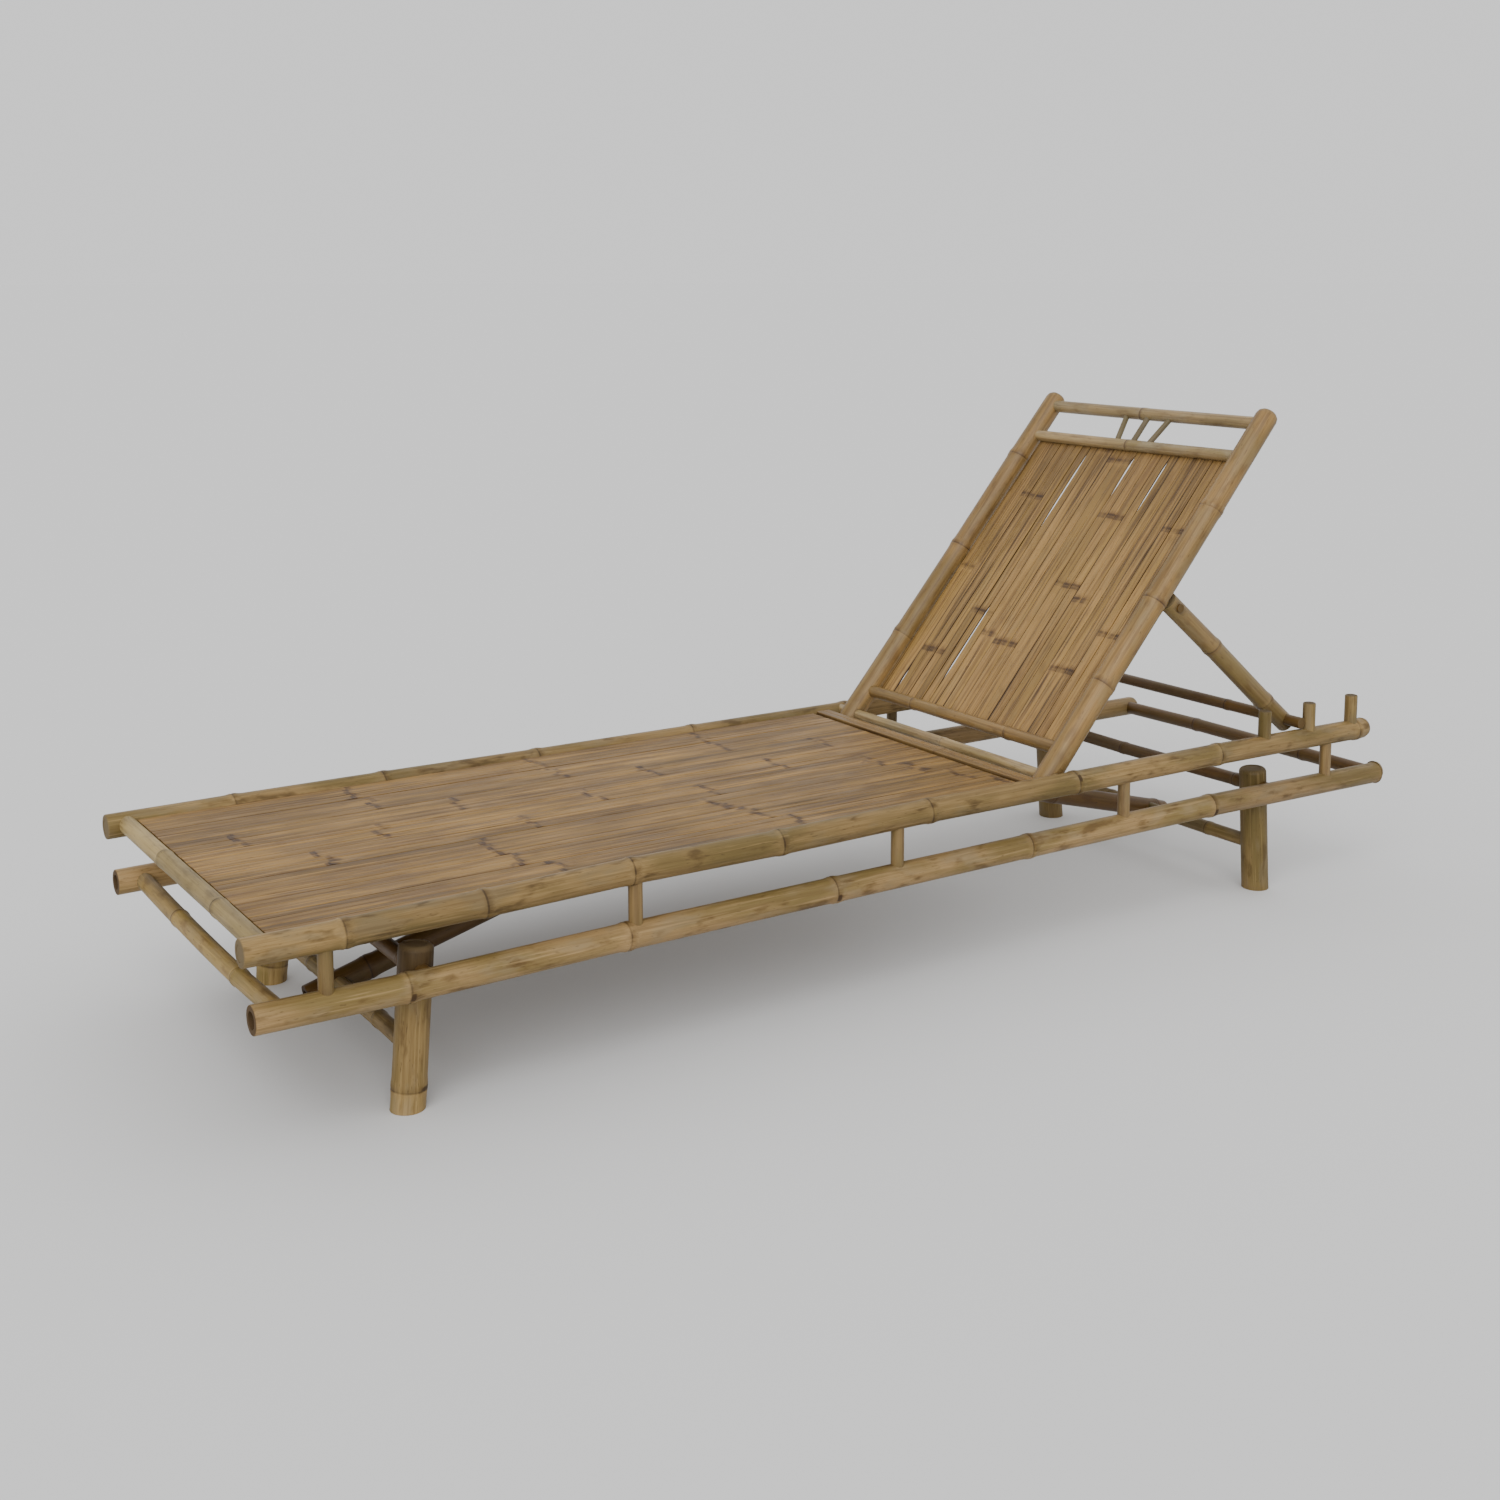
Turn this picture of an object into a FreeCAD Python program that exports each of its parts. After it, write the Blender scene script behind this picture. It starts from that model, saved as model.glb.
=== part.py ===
import FreeCAD, Part
import Sketcher
import os
import re

# Bamboo sun lounger: a pole frame with a slatted deck, a hinged backrest and a swinging prop.
# Millimetres. X runs across, Y from the foot end to the head end, Z up from the floor.
# Stations are measured along Y from the foot end of the upper rails.

doc = FreeCAD.newDocument("bamboo_sun_lounger")
sheet = doc.addObject("Spreadsheet::Sheet", "Sizes")

SIZES = [
    # clearances
    ("fit_gap", "0.1"),
    ("running_gap", "0.08"),
    ("seat_gap", "0.2"),
    ("tenon_stop", "1"),
    ("overrun", "2"),
    ("end_hollow_depth", "12"),
    ("hollow_dia_share", "0.62"),
    # rails
    ("rail_spacing", "600"),
    ("upper_rail_length", "2000"),
    ("upper_rail_dia", "38"),
    ("upper_rail_height", "262"),
    ("lower_rail_setback", "11"),
    ("lower_rail_overhang", "40"),
    ("lower_rail_dia", "39"),
    ("lower_rail_height", "178"),
    ("spacer_post_dia", "20"),
    ("post_inset", "103"),
    ("foot_post_share", "0.265"),
    ("middle_post_share", "0.4835"),
    ("pivot_post_share", "0.7095"),
    # pegs that the prop leans against
    ("peg_dia", "22"),
    ("peg_stand", "43"),
    ("peg_depth", "16"),
    ("upright_peg_inset", "259"),
    ("middle_peg_inset", "149"),
    ("low_peg_inset", "41"),
    # end crossbars
    ("foot_top_bar_dia", "26"),
    ("foot_top_bar_station", "28"),
    ("foot_top_bar_rise", "2"),
    ("end_bar_dia", "25"),
    ("foot_lower_bar_station", "48"),
    ("head_lower_bar_inset", "25"),
    # legs and what ties them
    ("leg_dia", "46"),
    ("leg_height", "214"),
    ("leg_splay", "4.5"),
    ("front_leg_inset", "235"),
    ("rear_leg_inset", "234"),
    ("leg_bar_dia", "23"),
    ("leg_bar_height", "183"),
    ("stretcher_dia", "24"),
    ("stretcher_height", "80"),
    ("brace_dia", "34"),
    ("brace_tail", "45"),
    ("brace_head", "24"),
    ("dowel_dia", "8"),
    # deck
    ("deck_top_rise", "10"),
    ("board_thickness", "6"),
    ("board_split", "1"),
    ("batten_width", "44"),
    ("batten_tenon_dia", "14"),
    ("batten_tenon_drop", "8"),
    ("foot_batten_station", "282"),
    ("end_batten_lead", "6"),
    ("end_strip_width", "31"),
    ("end_strip_thickness", "8"),
    ("end_strip_edge", "3"),
    ("strip_pivot_gap", "34"),
    ("nail_dia", "3"),
    ("nail_bite", "4"),
    ("board_nail_margin", "9"),
    # backrest
    ("recline_angle", "49"),
    ("pivot_inset", "704"),
    ("pivot_rise", "6"),
    ("pivot_rod_dia", "18"),
    ("back_pole_spacing", "512"),
    ("back_pole_dia", "40"),
    ("back_pole_tail", "22"),
    ("back_pole_reach", "730"),
    ("lower_panel_bar_dia", "22"),
    ("lower_panel_bar_reach", "50.5"),
    ("upper_panel_bar_dia", "21"),
    ("top_bar_dia", "23"),
    ("top_bar_inset", "24.5"),
    ("fan_height", "70"),
    ("fan_stick_dia", "10"),
    ("fan_foot_spread", "37"),
    ("fan_top_spread", "54"),
    ("slat_depth", "4"),
    ("slat_thickness", "5"),
    ("slat_side_gap", "1"),
    ("slat_split", "1.2"),
    ("back_crossbar_dia", "24"),
    ("back_crossbar_end_gap", "2"),
    ("back_dowel_inset", "6"),
    ("back_dowel_grip", "30"),
    ("hinge_nail_dia", "5"),
    ("hinge_nail_spread", "160"),
    # prop
    ("prop_rod_dia", "14"),
    ("prop_reach", "358"),
    ("prop_pole_dia", "33"),
    ("prop_pole_head", "18"),
    ("prop_pole_foot", "18"),
    ("prop_crossbar_dia", "20"),
    ("prop_crossbar_length", "606"),
]
BOARD_COUNT = 8
SLATS_PER_PANEL = 8
PANEL_NAMES = ("left", "middle", "right")
ALIASES = [alias for alias, value in SIZES]

for row, (alias, value) in enumerate(SIZES, start=1):
    sheet.set("A%d" % row, alias)
    sheet.set("B%d" % row, value)
    sheet.setAlias("B%d" % row, alias)
doc.recompute()

X_AXIS = FreeCAD.Vector(1, 0, 0)
Y_AXIS = FreeCAD.Vector(0, 1, 0)
Z_AXIS = FreeCAD.Vector(0, 0, 1)
AXES = {"x": X_AXIS, "y": Y_AXIS, "z": Z_AXIS}
ORIGIN = FreeCAD.Vector()
QUARTER_TURN = 90

# Places that several pieces share, as expressions in the sheet's names.
CENTRE = "((upper_rail_length + lower_rail_overhang) / 2)"
RAIL_X = "(rail_spacing / 2)"
DECK_TOP = "(upper_rail_height + deck_top_rise)"
DECK_UNDERSIDE = "(%s - board_thickness)" % DECK_TOP
BATTEN_TOP = "(%s - seat_gap)" % DECK_UNDERSIDE
DECK_HALF_WIDTH = "(%s - upper_rail_dia / 2 - seat_gap)" % RAIL_X
BOARD_PITCH = "(2 * %s / %d)" % (DECK_HALF_WIDTH, BOARD_COUNT)
BOARD_START = "(foot_top_bar_station + foot_top_bar_dia / 2 + seat_gap)"
PIVOT_STATION = "(upper_rail_length - pivot_inset)"
STRIP_MIDDLE = "(%s - strip_pivot_gap - end_strip_width / 2)" % PIVOT_STATION
BOARD_END = "(%s - end_strip_width / 2 - board_split)" % STRIP_MIDDLE
END_BATTEN = "(%s + end_batten_lead)" % BOARD_END
MIDDLE_BATTEN = "((foot_batten_station + %s) / 2)" % END_BATTEN
HEAD_LOWER_BAR = "(upper_rail_length + lower_rail_overhang - head_lower_bar_inset)"
LEG_X = "(%s - lower_rail_dia / 2 - leg_dia / 2 - seat_gap)" % RAIL_X
SPLAY = "(leg_splay * 1 deg)"
STRETCHER_DROP = "(leg_bar_height - stretcher_height)"
STRETCHER_SHIFT = "(%s * tan(%s))" % (STRETCHER_DROP, SPLAY)
PIVOT_Y = "(%s - %s)" % (PIVOT_STATION, CENTRE)
PIVOT_Z = "(upper_rail_height + pivot_rise)"
BACK_AT = ("0", PIVOT_Y, PIVOT_Z)
RECLINE = "(recline_angle * 1 deg)"
BACK_TILT = "(90 deg - %s)" % RECLINE
BACK_POLE_X = "(back_pole_spacing / 2)"
TOP_BAR_REACH = "(back_pole_reach - top_bar_inset)"
UPPER_BAR_REACH = "(%s - fan_height)" % TOP_BAR_REACH
SLAT_REACH = "(%s - lower_panel_bar_reach - 2 * tenon_stop)" % UPPER_BAR_REACH
PANEL_HALF_WIDTH = "(%s - back_pole_dia / 2 - slat_side_gap)" % BACK_POLE_X
SLAT_PITCH = "(2 * %s / %d)" % (PANEL_HALF_WIDTH, SLATS_PER_PANEL * len(PANEL_NAMES))
BACK_CROSSBAR_DEPTH = "(slat_depth + slat_thickness + seat_gap + back_crossbar_dia / 2)"
BACK_DOWEL_DEPTH = "(%s - back_dowel_inset)" % BACK_CROSSBAR_DEPTH
PROP_DEPTH = "(%s + back_crossbar_dia / 2 + seat_gap + prop_rod_dia / 2)" % BACK_CROSSBAR_DEPTH
PROP_Y = "(%s + prop_reach * cos(%s) + %s * sin(%s))" % (PIVOT_Y, RECLINE, PROP_DEPTH, RECLINE)
PROP_Z = "(%s + prop_reach * sin(%s) - %s * cos(%s))" % (PIVOT_Z, RECLINE, PROP_DEPTH, RECLINE)
MIDDLE_PEG = "(upper_rail_length - middle_peg_inset)"
REST_Y = "(%s - peg_dia / 2 - prop_crossbar_dia / 2 - seat_gap - %s)" % (MIDDLE_PEG, CENTRE)
REST_Z = "(upper_rail_height + upper_rail_dia / 2 + prop_crossbar_dia / 2 + seat_gap)"
PROP_SLOPE = "atan((%s - %s) / (%s - %s))" % (REST_Z, PROP_Z, REST_Y, PROP_Y)
PROP_LENGTH = "sqrt((%s - %s) ^ 2 + (%s - %s) ^ 2)" % (REST_Y, PROP_Y, REST_Z, PROP_Z)
PROP_TILT = "(90 deg - %s)" % PROP_SLOPE

nodes = []


def named(text):
    """Return an expression with each size name pointing at its cell in the sheet."""
    def point(match):
        word = match.group()
        return "Sizes." + word if word in ALIASES else word
    return re.sub(r"[a-z][a-z0-9_]*", point, text)


def bind(thing, prop, text):
    thing.setExpression(prop, named(text))


def place(thing, at):
    for axis, text in zip("xyz", at):
        bind(thing, "Placement.Base." + axis, text)


def turn(thing, angle, way=1, axis=X_AXIS):
    """Turn a thing about an axis, or its opposite, by an expression for a positive angle."""
    thing.Placement = FreeCAD.Placement(ORIGIN, FreeCAD.Rotation(axis * way, QUARTER_TURN))
    bind(thing, "Placement.Rotation.Angle", angle)


def rod(name, dia, length, at=("0", "0", "0"), axis="z"):
    """A round bar that starts at a point and runs along an axis."""
    bar = doc.addObject("Part::Cylinder", name)
    bar.Placement = FreeCAD.Placement(ORIGIN, FreeCAD.Rotation(Z_AXIS, AXES[axis]))
    bind(bar, "Radius", "(%s) / 2" % dia)
    bind(bar, "Height", length)
    place(bar, at)
    return bar


def box(name, size, at):
    block = doc.addObject("Part::Box", name)
    for prop, text in zip(("Length", "Width", "Height"), size):
        bind(block, prop, text)
    place(block, at)
    return block


def joined(name, parts):
    if len(parts) == 1:
        return parts[0]
    whole = doc.addObject("Part::MultiFuse", name)
    whole.Shapes = parts
    return whole


def cut(name, base, tools):
    rest = doc.addObject("Part::Cut", name)
    rest.Base = base
    rest.Tool = joined(name + "_tools", tools)
    return rest


def group(name, parts):
    whole = doc.addObject("Part::Compound", name)
    whole.Links = parts
    return whole


def node(label, thing, at=None, tilt=None, way=-1):
    """Name a sub-part and put it in its place in the lounger."""
    thing.Label = label
    if tilt:
        turn(thing, tilt, way)
    if at:
        place(thing, at)
    nodes.append((label, thing))
    return thing


def half_hole(name, dia, reach, inward, at_y, at_z):
    """A blind hole across a rail, from its axis out through its inner side."""
    start = "0" if inward > 0 else "-(%s)" % reach
    return rod(name, "%s + 2 * fit_gap" % dia, reach, (start, at_y, at_z), "x")


def end_hollows(name, dia, length):
    """The open ends of a culm, as shallow blind bores."""
    bore = "%s * hollow_dia_share" % dia
    depth = "end_hollow_depth + overrun"
    foot = rod(name + "_foot_hollow", bore, depth, ("0", "-overrun", "0"), "y")
    head = rod(name + "_head_hollow", bore, depth, ("0", "%s - end_hollow_depth" % length, "0"), "y")
    return [foot, head]


# Stations, from the foot end or the head end of the upper rails or as a share of their length.
POSTS = ("post_inset", "(upper_rail_length * foot_post_share)",
         "(upper_rail_length * middle_post_share)", "(upper_rail_length * pivot_post_share)",
         "(upper_rail_length - post_inset)")
PEGS = ("(upper_rail_length - upright_peg_inset)", MIDDLE_PEG,
        "(upper_rail_length - low_peg_inset)")
BATTENS = (("foot", "foot_batten_station"), ("middle", MIDDLE_BATTEN), ("end", END_BATTEN))
LEGS = (("front", "front_leg_inset", -1), ("rear", "(upper_rail_length - rear_leg_inset)", 1))
BACK_BARS = (("lower_panel_bar", "lower_panel_bar_reach"), ("upper_panel_bar", UPPER_BAR_REACH),
             ("top_bar", TOP_BAR_REACH))
SIDES = (("left", -1), ("right", 1))


def brace_slope(station, batten, way):
    """Slope of a brace from the stretcher's axis to just under a half-round batten."""
    run = "(%d * (%s + %d * %s - %s))" % (way, station, way, STRETCHER_SHIFT, batten)
    rise = "(%s - stretcher_height)" % BATTEN_TOP
    reach = "sqrt(%s ^ 2 + %s ^ 2)" % (run, rise)
    offset = "(batten_width / 2 + brace_dia / 2 + seat_gap)"
    slope = "(atan(%s / %s) - asin(%s / %s))" % (rise, run, offset, reach)
    along = "sqrt(%s ^ 2 - %s ^ 2)" % (reach, offset)
    return slope, along, offset


BRACES = {}
for leg_name, leg_station, way in LEGS:
    batten_station = MIDDLE_BATTEN if way < 0 else END_BATTEN
    BRACES[leg_name] = (batten_station,) + brace_slope(leg_station, batten_station, way)


def make_upper_rail(side, sign):
    """The rail that carries the deck, the pivot rod and the pegs."""
    name = "upper_rail_" + side
    reach = "(upper_rail_dia / 2 + overrun)"
    base = rod(name + "_pole", "upper_rail_dia", "upper_rail_length", axis="y")
    tools = end_hollows(name, "upper_rail_dia", "upper_rail_length")
    for number, post in enumerate(POSTS, start=1):
        tools.append(rod("%s_post_hole_%d" % (name, number), "spacer_post_dia + 2 * fit_gap",
                         reach, ("0", post, "-%s" % reach)))
    for number, peg in enumerate(PEGS, start=1):
        tools.append(rod("%s_peg_hole_%d" % (name, number), "peg_dia + 2 * fit_gap",
                         "peg_depth + seat_gap + overrun",
                         ("0", peg, "upper_rail_dia / 2 - peg_depth - seat_gap")))
    tools.append(half_hole(name + "_bar_hole", "foot_top_bar_dia", reach, -sign,
                           "foot_top_bar_station", "foot_top_bar_rise"))
    tools.append(half_hole(name + "_pivot_hole", "pivot_rod_dia", reach, -sign,
                           PIVOT_STATION, "pivot_rise"))
    for which, station in BATTENS:
        tools.append(half_hole("%s_%s_batten_hole" % (name, which), "batten_tenon_dia", reach,
                               -sign, station, "%s - batten_tenon_drop - upper_rail_height" % BATTEN_TOP))
    node(name, cut(name, base, tools),
         ("%d * %s" % (sign, RAIL_X), "-%s" % CENTRE, "upper_rail_height"))


def make_lower_rail(side, sign):
    """The rail that stands on the legs' crossbars and carries the posts."""
    name = "lower_rail_" + side
    reach = "(lower_rail_dia / 2 + overrun)"
    length = "(upper_rail_length + lower_rail_overhang - lower_rail_setback)"
    base = rod(name + "_pole", "lower_rail_dia", length, axis="y")
    tools = end_hollows(name, "lower_rail_dia", length)
    for number, post in enumerate(POSTS, start=1):
        tools.append(rod("%s_post_hole_%d" % (name, number), "spacer_post_dia + 2 * fit_gap",
                         reach, ("0", "%s - lower_rail_setback" % post, "0")))
    for end, bar in (("foot", "foot_lower_bar_station"), ("head", HEAD_LOWER_BAR)):
        tools.append(half_hole("%s_%s_bar_hole" % (name, end), "end_bar_dia", reach, -sign,
                               "%s - lower_rail_setback" % bar, "0"))
    for leg, station, way in LEGS:
        tools.append(half_hole("%s_%s_leg_bar_hole" % (name, leg), "leg_bar_dia", reach, -sign,
                               "%s - lower_rail_setback" % station,
                               "leg_bar_height - lower_rail_height"))
    node(name, cut(name, base, tools),
         ("%d * %s" % (sign, RAIL_X), "lower_rail_setback - %s" % CENTRE, "lower_rail_height"))


def make_posts(side, sign):
    """Five short posts that hold the two rails of a side apart."""
    length = "upper_rail_height - lower_rail_height - 2 * tenon_stop"
    for number, station in enumerate(POSTS, start=1):
        name = "spacer_post_%s_%d" % (side, number)
        at = ("%d * %s" % (sign, RAIL_X), "%s - %s" % (station, CENTRE),
              "lower_rail_height + tenon_stop")
        node(name, rod(name, "spacer_post_dia", length), at)


def make_pegs(side, sign):
    """Three upright pegs that stop the prop's crossbar, one for each recline position."""
    pegs = []
    for number, station in enumerate(PEGS, start=1):
        at = ("0", station, "upper_rail_dia / 2 - peg_depth")
        pegs.append(rod("%s_peg_%d" % (side, number), "peg_dia", "peg_stand + peg_depth", at))
    name = "recline_pegs_" + side
    node(name, group(name, pegs),
         ("%d * %s" % (sign, RAIL_X), "-%s" % CENTRE, "upper_rail_height"))


def make_leg(leg, station, way, side, sign):
    """A splayed leg, trimmed flat at the floor, with its crossbar and stretcher holes."""
    name = "%s_leg_%s" % (leg, side)
    wide = "(leg_dia + 2 * overrun)"
    reach = "(leg_dia / 2 + overrun)"
    below = "(leg_bar_height / cos(%s))" % SPLAY
    above = "(leg_height - leg_bar_height)"
    base = rod(name + "_pole", "leg_dia", "%s + %s + overrun" % (below, above),
               ("0", "0", "-(%s + overrun)" % below))
    trim = rod(name + "_floor_trim", "2 * leg_dia", "leg_dia")
    turn(trim, "180 deg - %s" % SPLAY, way)
    place(trim, ("0", "0", "-%s" % below))
    bar_hole = rod(name + "_bar_hole", "leg_bar_dia + 2 * fit_gap", wide,
                   ("-%s / 2" % wide, "0", "0"), "x")
    stretcher_hole = half_hole(name + "_stretcher_hole", "stretcher_dia", reach, -sign, "0",
                               "-%s / cos(%s)" % (STRETCHER_DROP, SPLAY))
    hollow = rod(name + "_top_hollow", "leg_dia * hollow_dia_share", "end_hollow_depth + overrun",
                 ("0", "0", "%s - end_hollow_depth" % above))
    node(name, cut(name, base, [trim, bar_hole, stretcher_hole, hollow]),
         ("%d * %s" % (sign, LEG_X), "%s - %s" % (station, CENTRE), "leg_bar_height"),
         SPLAY, way)


def make_crossbar(name, dia, spacing, at_y, at_z):
    """A round bar across the lounger whose ends stop just short of two poles' axes."""
    length = "%s - 2 * tenon_stop" % spacing
    node(name, rod(name, dia, length, axis="x"), ("-(%s) / 2" % length, at_y, at_z))


def make_brace(leg, station, way):
    """A thick diagonal brace, threaded on the leg stretcher and dowelled to a batten."""
    name = "diagonal_brace_" + leg
    batten, slope, along, offset = BRACES[leg]
    base = rod(name + "_pole", "brace_dia", "%s + brace_tail + brace_head" % along,
               ("0", "0", "-brace_tail"))
    reach = "(brace_dia / 2 + overrun)"
    threaded = rod(name + "_stretcher_hole", "stretcher_dia + 2 * fit_gap", "2 * %s" % reach,
                   ("-%s" % reach, "0", "0"), "x")
    doweled = rod(name + "_dowel_hole", "dowel_dia + 2 * fit_gap", reach)
    turn(doweled, "90 deg", -way)
    place(doweled, ("0", "0", along))
    hollow = rod(name + "_hollow", "brace_dia * hollow_dia_share", "end_hollow_depth + overrun",
                 ("0", "0", "-brace_tail - overrun"))
    node(name, cut(name, base, [threaded, doweled, hollow]),
         ("0", "%s + %d * %s - %s" % (station, way, STRETCHER_SHIFT, CENTRE), "stretcher_height"),
         "(90 deg - %s)" % slope, way)


def make_brace_dowels():
    """Two dowels that tie the braces' upper ends to the battens."""
    dowels = []
    for leg, station, way in LEGS:
        batten, slope, along, offset = BRACES[leg]
        dowel = rod("brace_dowel_" + leg, "dowel_dia", "%s - tenon_stop" % offset)
        turn(dowel, slope, -way)
        place(dowel, ("0", "%s + %d * %s - %s - %d * %s * cos(%s)"
                      % (station, way, STRETCHER_SHIFT, CENTRE, way, along, slope),
                      "stretcher_height + %s * sin(%s)" % (along, slope)))
        dowels.append(dowel)
    node("brace_dowels", group("brace_dowels", dowels))


def board_middle(number):
    return "(%d * %s / 2)" % (2 * number - BOARD_COUNT - 1, BOARD_PITCH)


def nail_rows():
    """Each nail row: its station and the batten that carries it."""
    rows = [(station, station) for which, station in BATTENS[:-1]]
    rows.append(("(%s - board_nail_margin)" % BOARD_END, END_BATTEN))
    rows.append((STRIP_MIDDLE, END_BATTEN))
    return rows


def make_batten(which, station):
    """A split half-round batten under the deck, flat side up, with a round tenon each end."""
    name = which + "_batten"
    length = "(2 * %s)" % DECK_HALF_WIDTH
    whole = rod(name + "_culm", "batten_width", length, ("-%s / 2" % length, "0", "0"), "x")
    wide = "(batten_width + 2 * overrun)"
    split = box(name + "_split", ("%s + 2 * overrun" % length, wide, wide),
                ("-%s / 2 - overrun" % length, "-%s / 2" % wide, "0"))
    half = cut(name + "_half", whole, [split])
    tenon_length = "(rail_spacing - 2 * tenon_stop)"
    tenon = rod(name + "_tenon", "batten_tenon_dia", tenon_length,
                ("-%s / 2" % tenon_length, "0", "-batten_tenon_drop"), "x")
    tools = []
    for row, (place_of, carrier) in enumerate(nail_rows()):
        if carrier == station:
            for number in range(1, BOARD_COUNT + 1):
                tools.append(rod("%s_nail_%d_%d" % (name, row, number), "nail_dia + 2 * fit_gap",
                                 "batten_width / 2 + 2 * overrun",
                                 (board_middle(number), "%s - %s" % (place_of, station),
                                  "-batten_width / 2 - overrun")))
    for leg, (batten, slope, along, offset) in BRACES.items():
        if batten == station:
            way = -1 if leg == "front" else 1
            hole = rod("%s_%s_dowel_hole" % (name, leg), "dowel_dia + 2 * fit_gap",
                       "batten_width / 2 + overrun")
            turn(hole, "180 deg - %s" % slope, way)
            tools.append(hole)
    node(name, cut(name, joined(name + "_whole", [half, tenon]), tools),
         ("0", "%s - %s" % (station, CENTRE), BATTEN_TOP))


def sketch_on(body, name, role):
    """A sketch attached to one of its own body's origin planes."""
    plane = [feature for feature in body.Origin.OriginFeatures if feature.Role == role][0]
    sketch = body.newObject("Sketcher::SketchObject", name)
    sketch.AttachmentSupport = [(plane, "")]
    sketch.MapMode = "FlatFace"
    return sketch


def constrain(sketch, kind, points, text):
    """Add a distance constraint and bind it to an expression."""
    index = sketch.addConstraint(Sketcher.Constraint(kind, *points, 1))
    bind(sketch, "Constraints[%d]" % index, text)


def rectangle(sketch, width, depth):
    """A rectangle centred on the sketch's upright axis, standing on its level axis."""
    corners = [FreeCAD.Vector(-1, 0, 0), FreeCAD.Vector(1, 0, 0),
               FreeCAD.Vector(1, 1, 0), FreeCAD.Vector(-1, 1, 0)]
    for start, end in zip(corners, corners[1:] + corners[:1]):
        sketch.addGeometry(Part.LineSegment(start, end), False)
    for line in range(len(corners)):
        sketch.addConstraint(Sketcher.Constraint("Coincident", line, 2, (line + 1) % len(corners), 1))
    for upright in (1, 3):
        sketch.addConstraint(Sketcher.Constraint("Vertical", upright))
    sketch.addConstraint(Sketcher.Constraint("Horizontal", 2))
    sketch.addConstraint(Sketcher.Constraint("PointOnObject", 0, 1, -1))
    sketch.addConstraint(Sketcher.Constraint("Symmetric", 0, 1, 0, 2, -2))
    constrain(sketch, "DistanceX", (0, 1, 0, 2), width)
    constrain(sketch, "DistanceY", (1, 1, 1, 2), depth)


def strip_body(name, width, thickness, length):
    """A split-bamboo strip: a rectangle drawn end on and padded along its length."""
    body = doc.addObject("PartDesign::Body", name + "_body")
    sketch = sketch_on(body, name + "_section", "XZ_Plane")
    rectangle(sketch, width, thickness)
    pad = body.newObject("PartDesign::Pad", name + "_pad")
    pad.Profile = sketch
    bind(pad, "Length", length)
    pad.Reversed = True
    body.Tip = pad
    return body


def make_deck_board(number):
    """One flattened-culm board of the deck, nailed from below."""
    name = "deck_board_%d" % number
    body = strip_body(name, "%s - board_split" % BOARD_PITCH, "board_thickness",
                      "%s - %s" % (BOARD_END, BOARD_START))
    tools = []
    for row, (station, carrier) in enumerate(nail_rows()[:-1]):
        tools.append(rod("%s_nail_%d" % (name, row), "nail_dia + 2 * fit_gap",
                         "nail_bite + seat_gap + overrun",
                         ("0", "%s - %s" % (station, BOARD_START), "-overrun")))
    node(name, cut(name, body, tools),
         (board_middle(number), "%s - %s" % (BOARD_START, CENTRE), DECK_UNDERSIDE))


def make_end_strip():
    """The strip that closes the boards' ends in front of the pivot rod."""
    name = "deck_end_strip"
    body = doc.addObject("PartDesign::Body", name + "_body")
    sketch = sketch_on(body, name + "_section", "YZ_Plane")
    rectangle(sketch, "end_strip_width", "end_strip_thickness")
    pad = body.newObject("PartDesign::Pad", name + "_pad")
    pad.Profile = sketch
    bind(pad, "Length", "2 * %s" % DECK_HALF_WIDTH)
    pad.Midplane = True
    body.Tip = pad
    doc.recompute()
    top = sheet.end_strip_thickness
    edges = ["Edge%d" % number for number, edge in enumerate(pad.Shape.Edges, start=1)
             if edge.BoundBox.ZMin > top / 2 and edge.BoundBox.XLength > top]
    round_off = body.newObject("PartDesign::Fillet", name + "_edges")
    round_off.Base = (pad, edges)
    bind(round_off, "Radius", "end_strip_edge")
    body.Tip = round_off
    tools = [rod("%s_nail_%d" % (name, number), "nail_dia + 2 * fit_gap",
                 "nail_bite + seat_gap + overrun",
                 (board_middle(number), "0", "-overrun"))
             for number in range(1, BOARD_COUNT + 1)]
    node(name, cut(name, body, tools),
         ("0", "%s - %s" % (STRIP_MIDDLE, CENTRE), DECK_UNDERSIDE))


def make_deck_nails():
    """Bamboo nails up through the battens into the boards and the end strip."""
    nails = []
    for row, (station, carrier) in enumerate(nail_rows()):
        offset = "(%s - %s)" % (station, carrier)
        rise = "sqrt((batten_width / 2) ^ 2 - %s ^ 2)" % offset
        for number in range(1, BOARD_COUNT + 1):
            nails.append(rod("deck_nail_%d_%d" % (row, number), "nail_dia",
                             "%s + seat_gap + nail_bite" % rise,
                             (board_middle(number), "%s - %s" % (station, CENTRE),
                              "%s - %s" % (BATTEN_TOP, rise))))
    node("deck_nails", group("deck_nails", nails))


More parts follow.
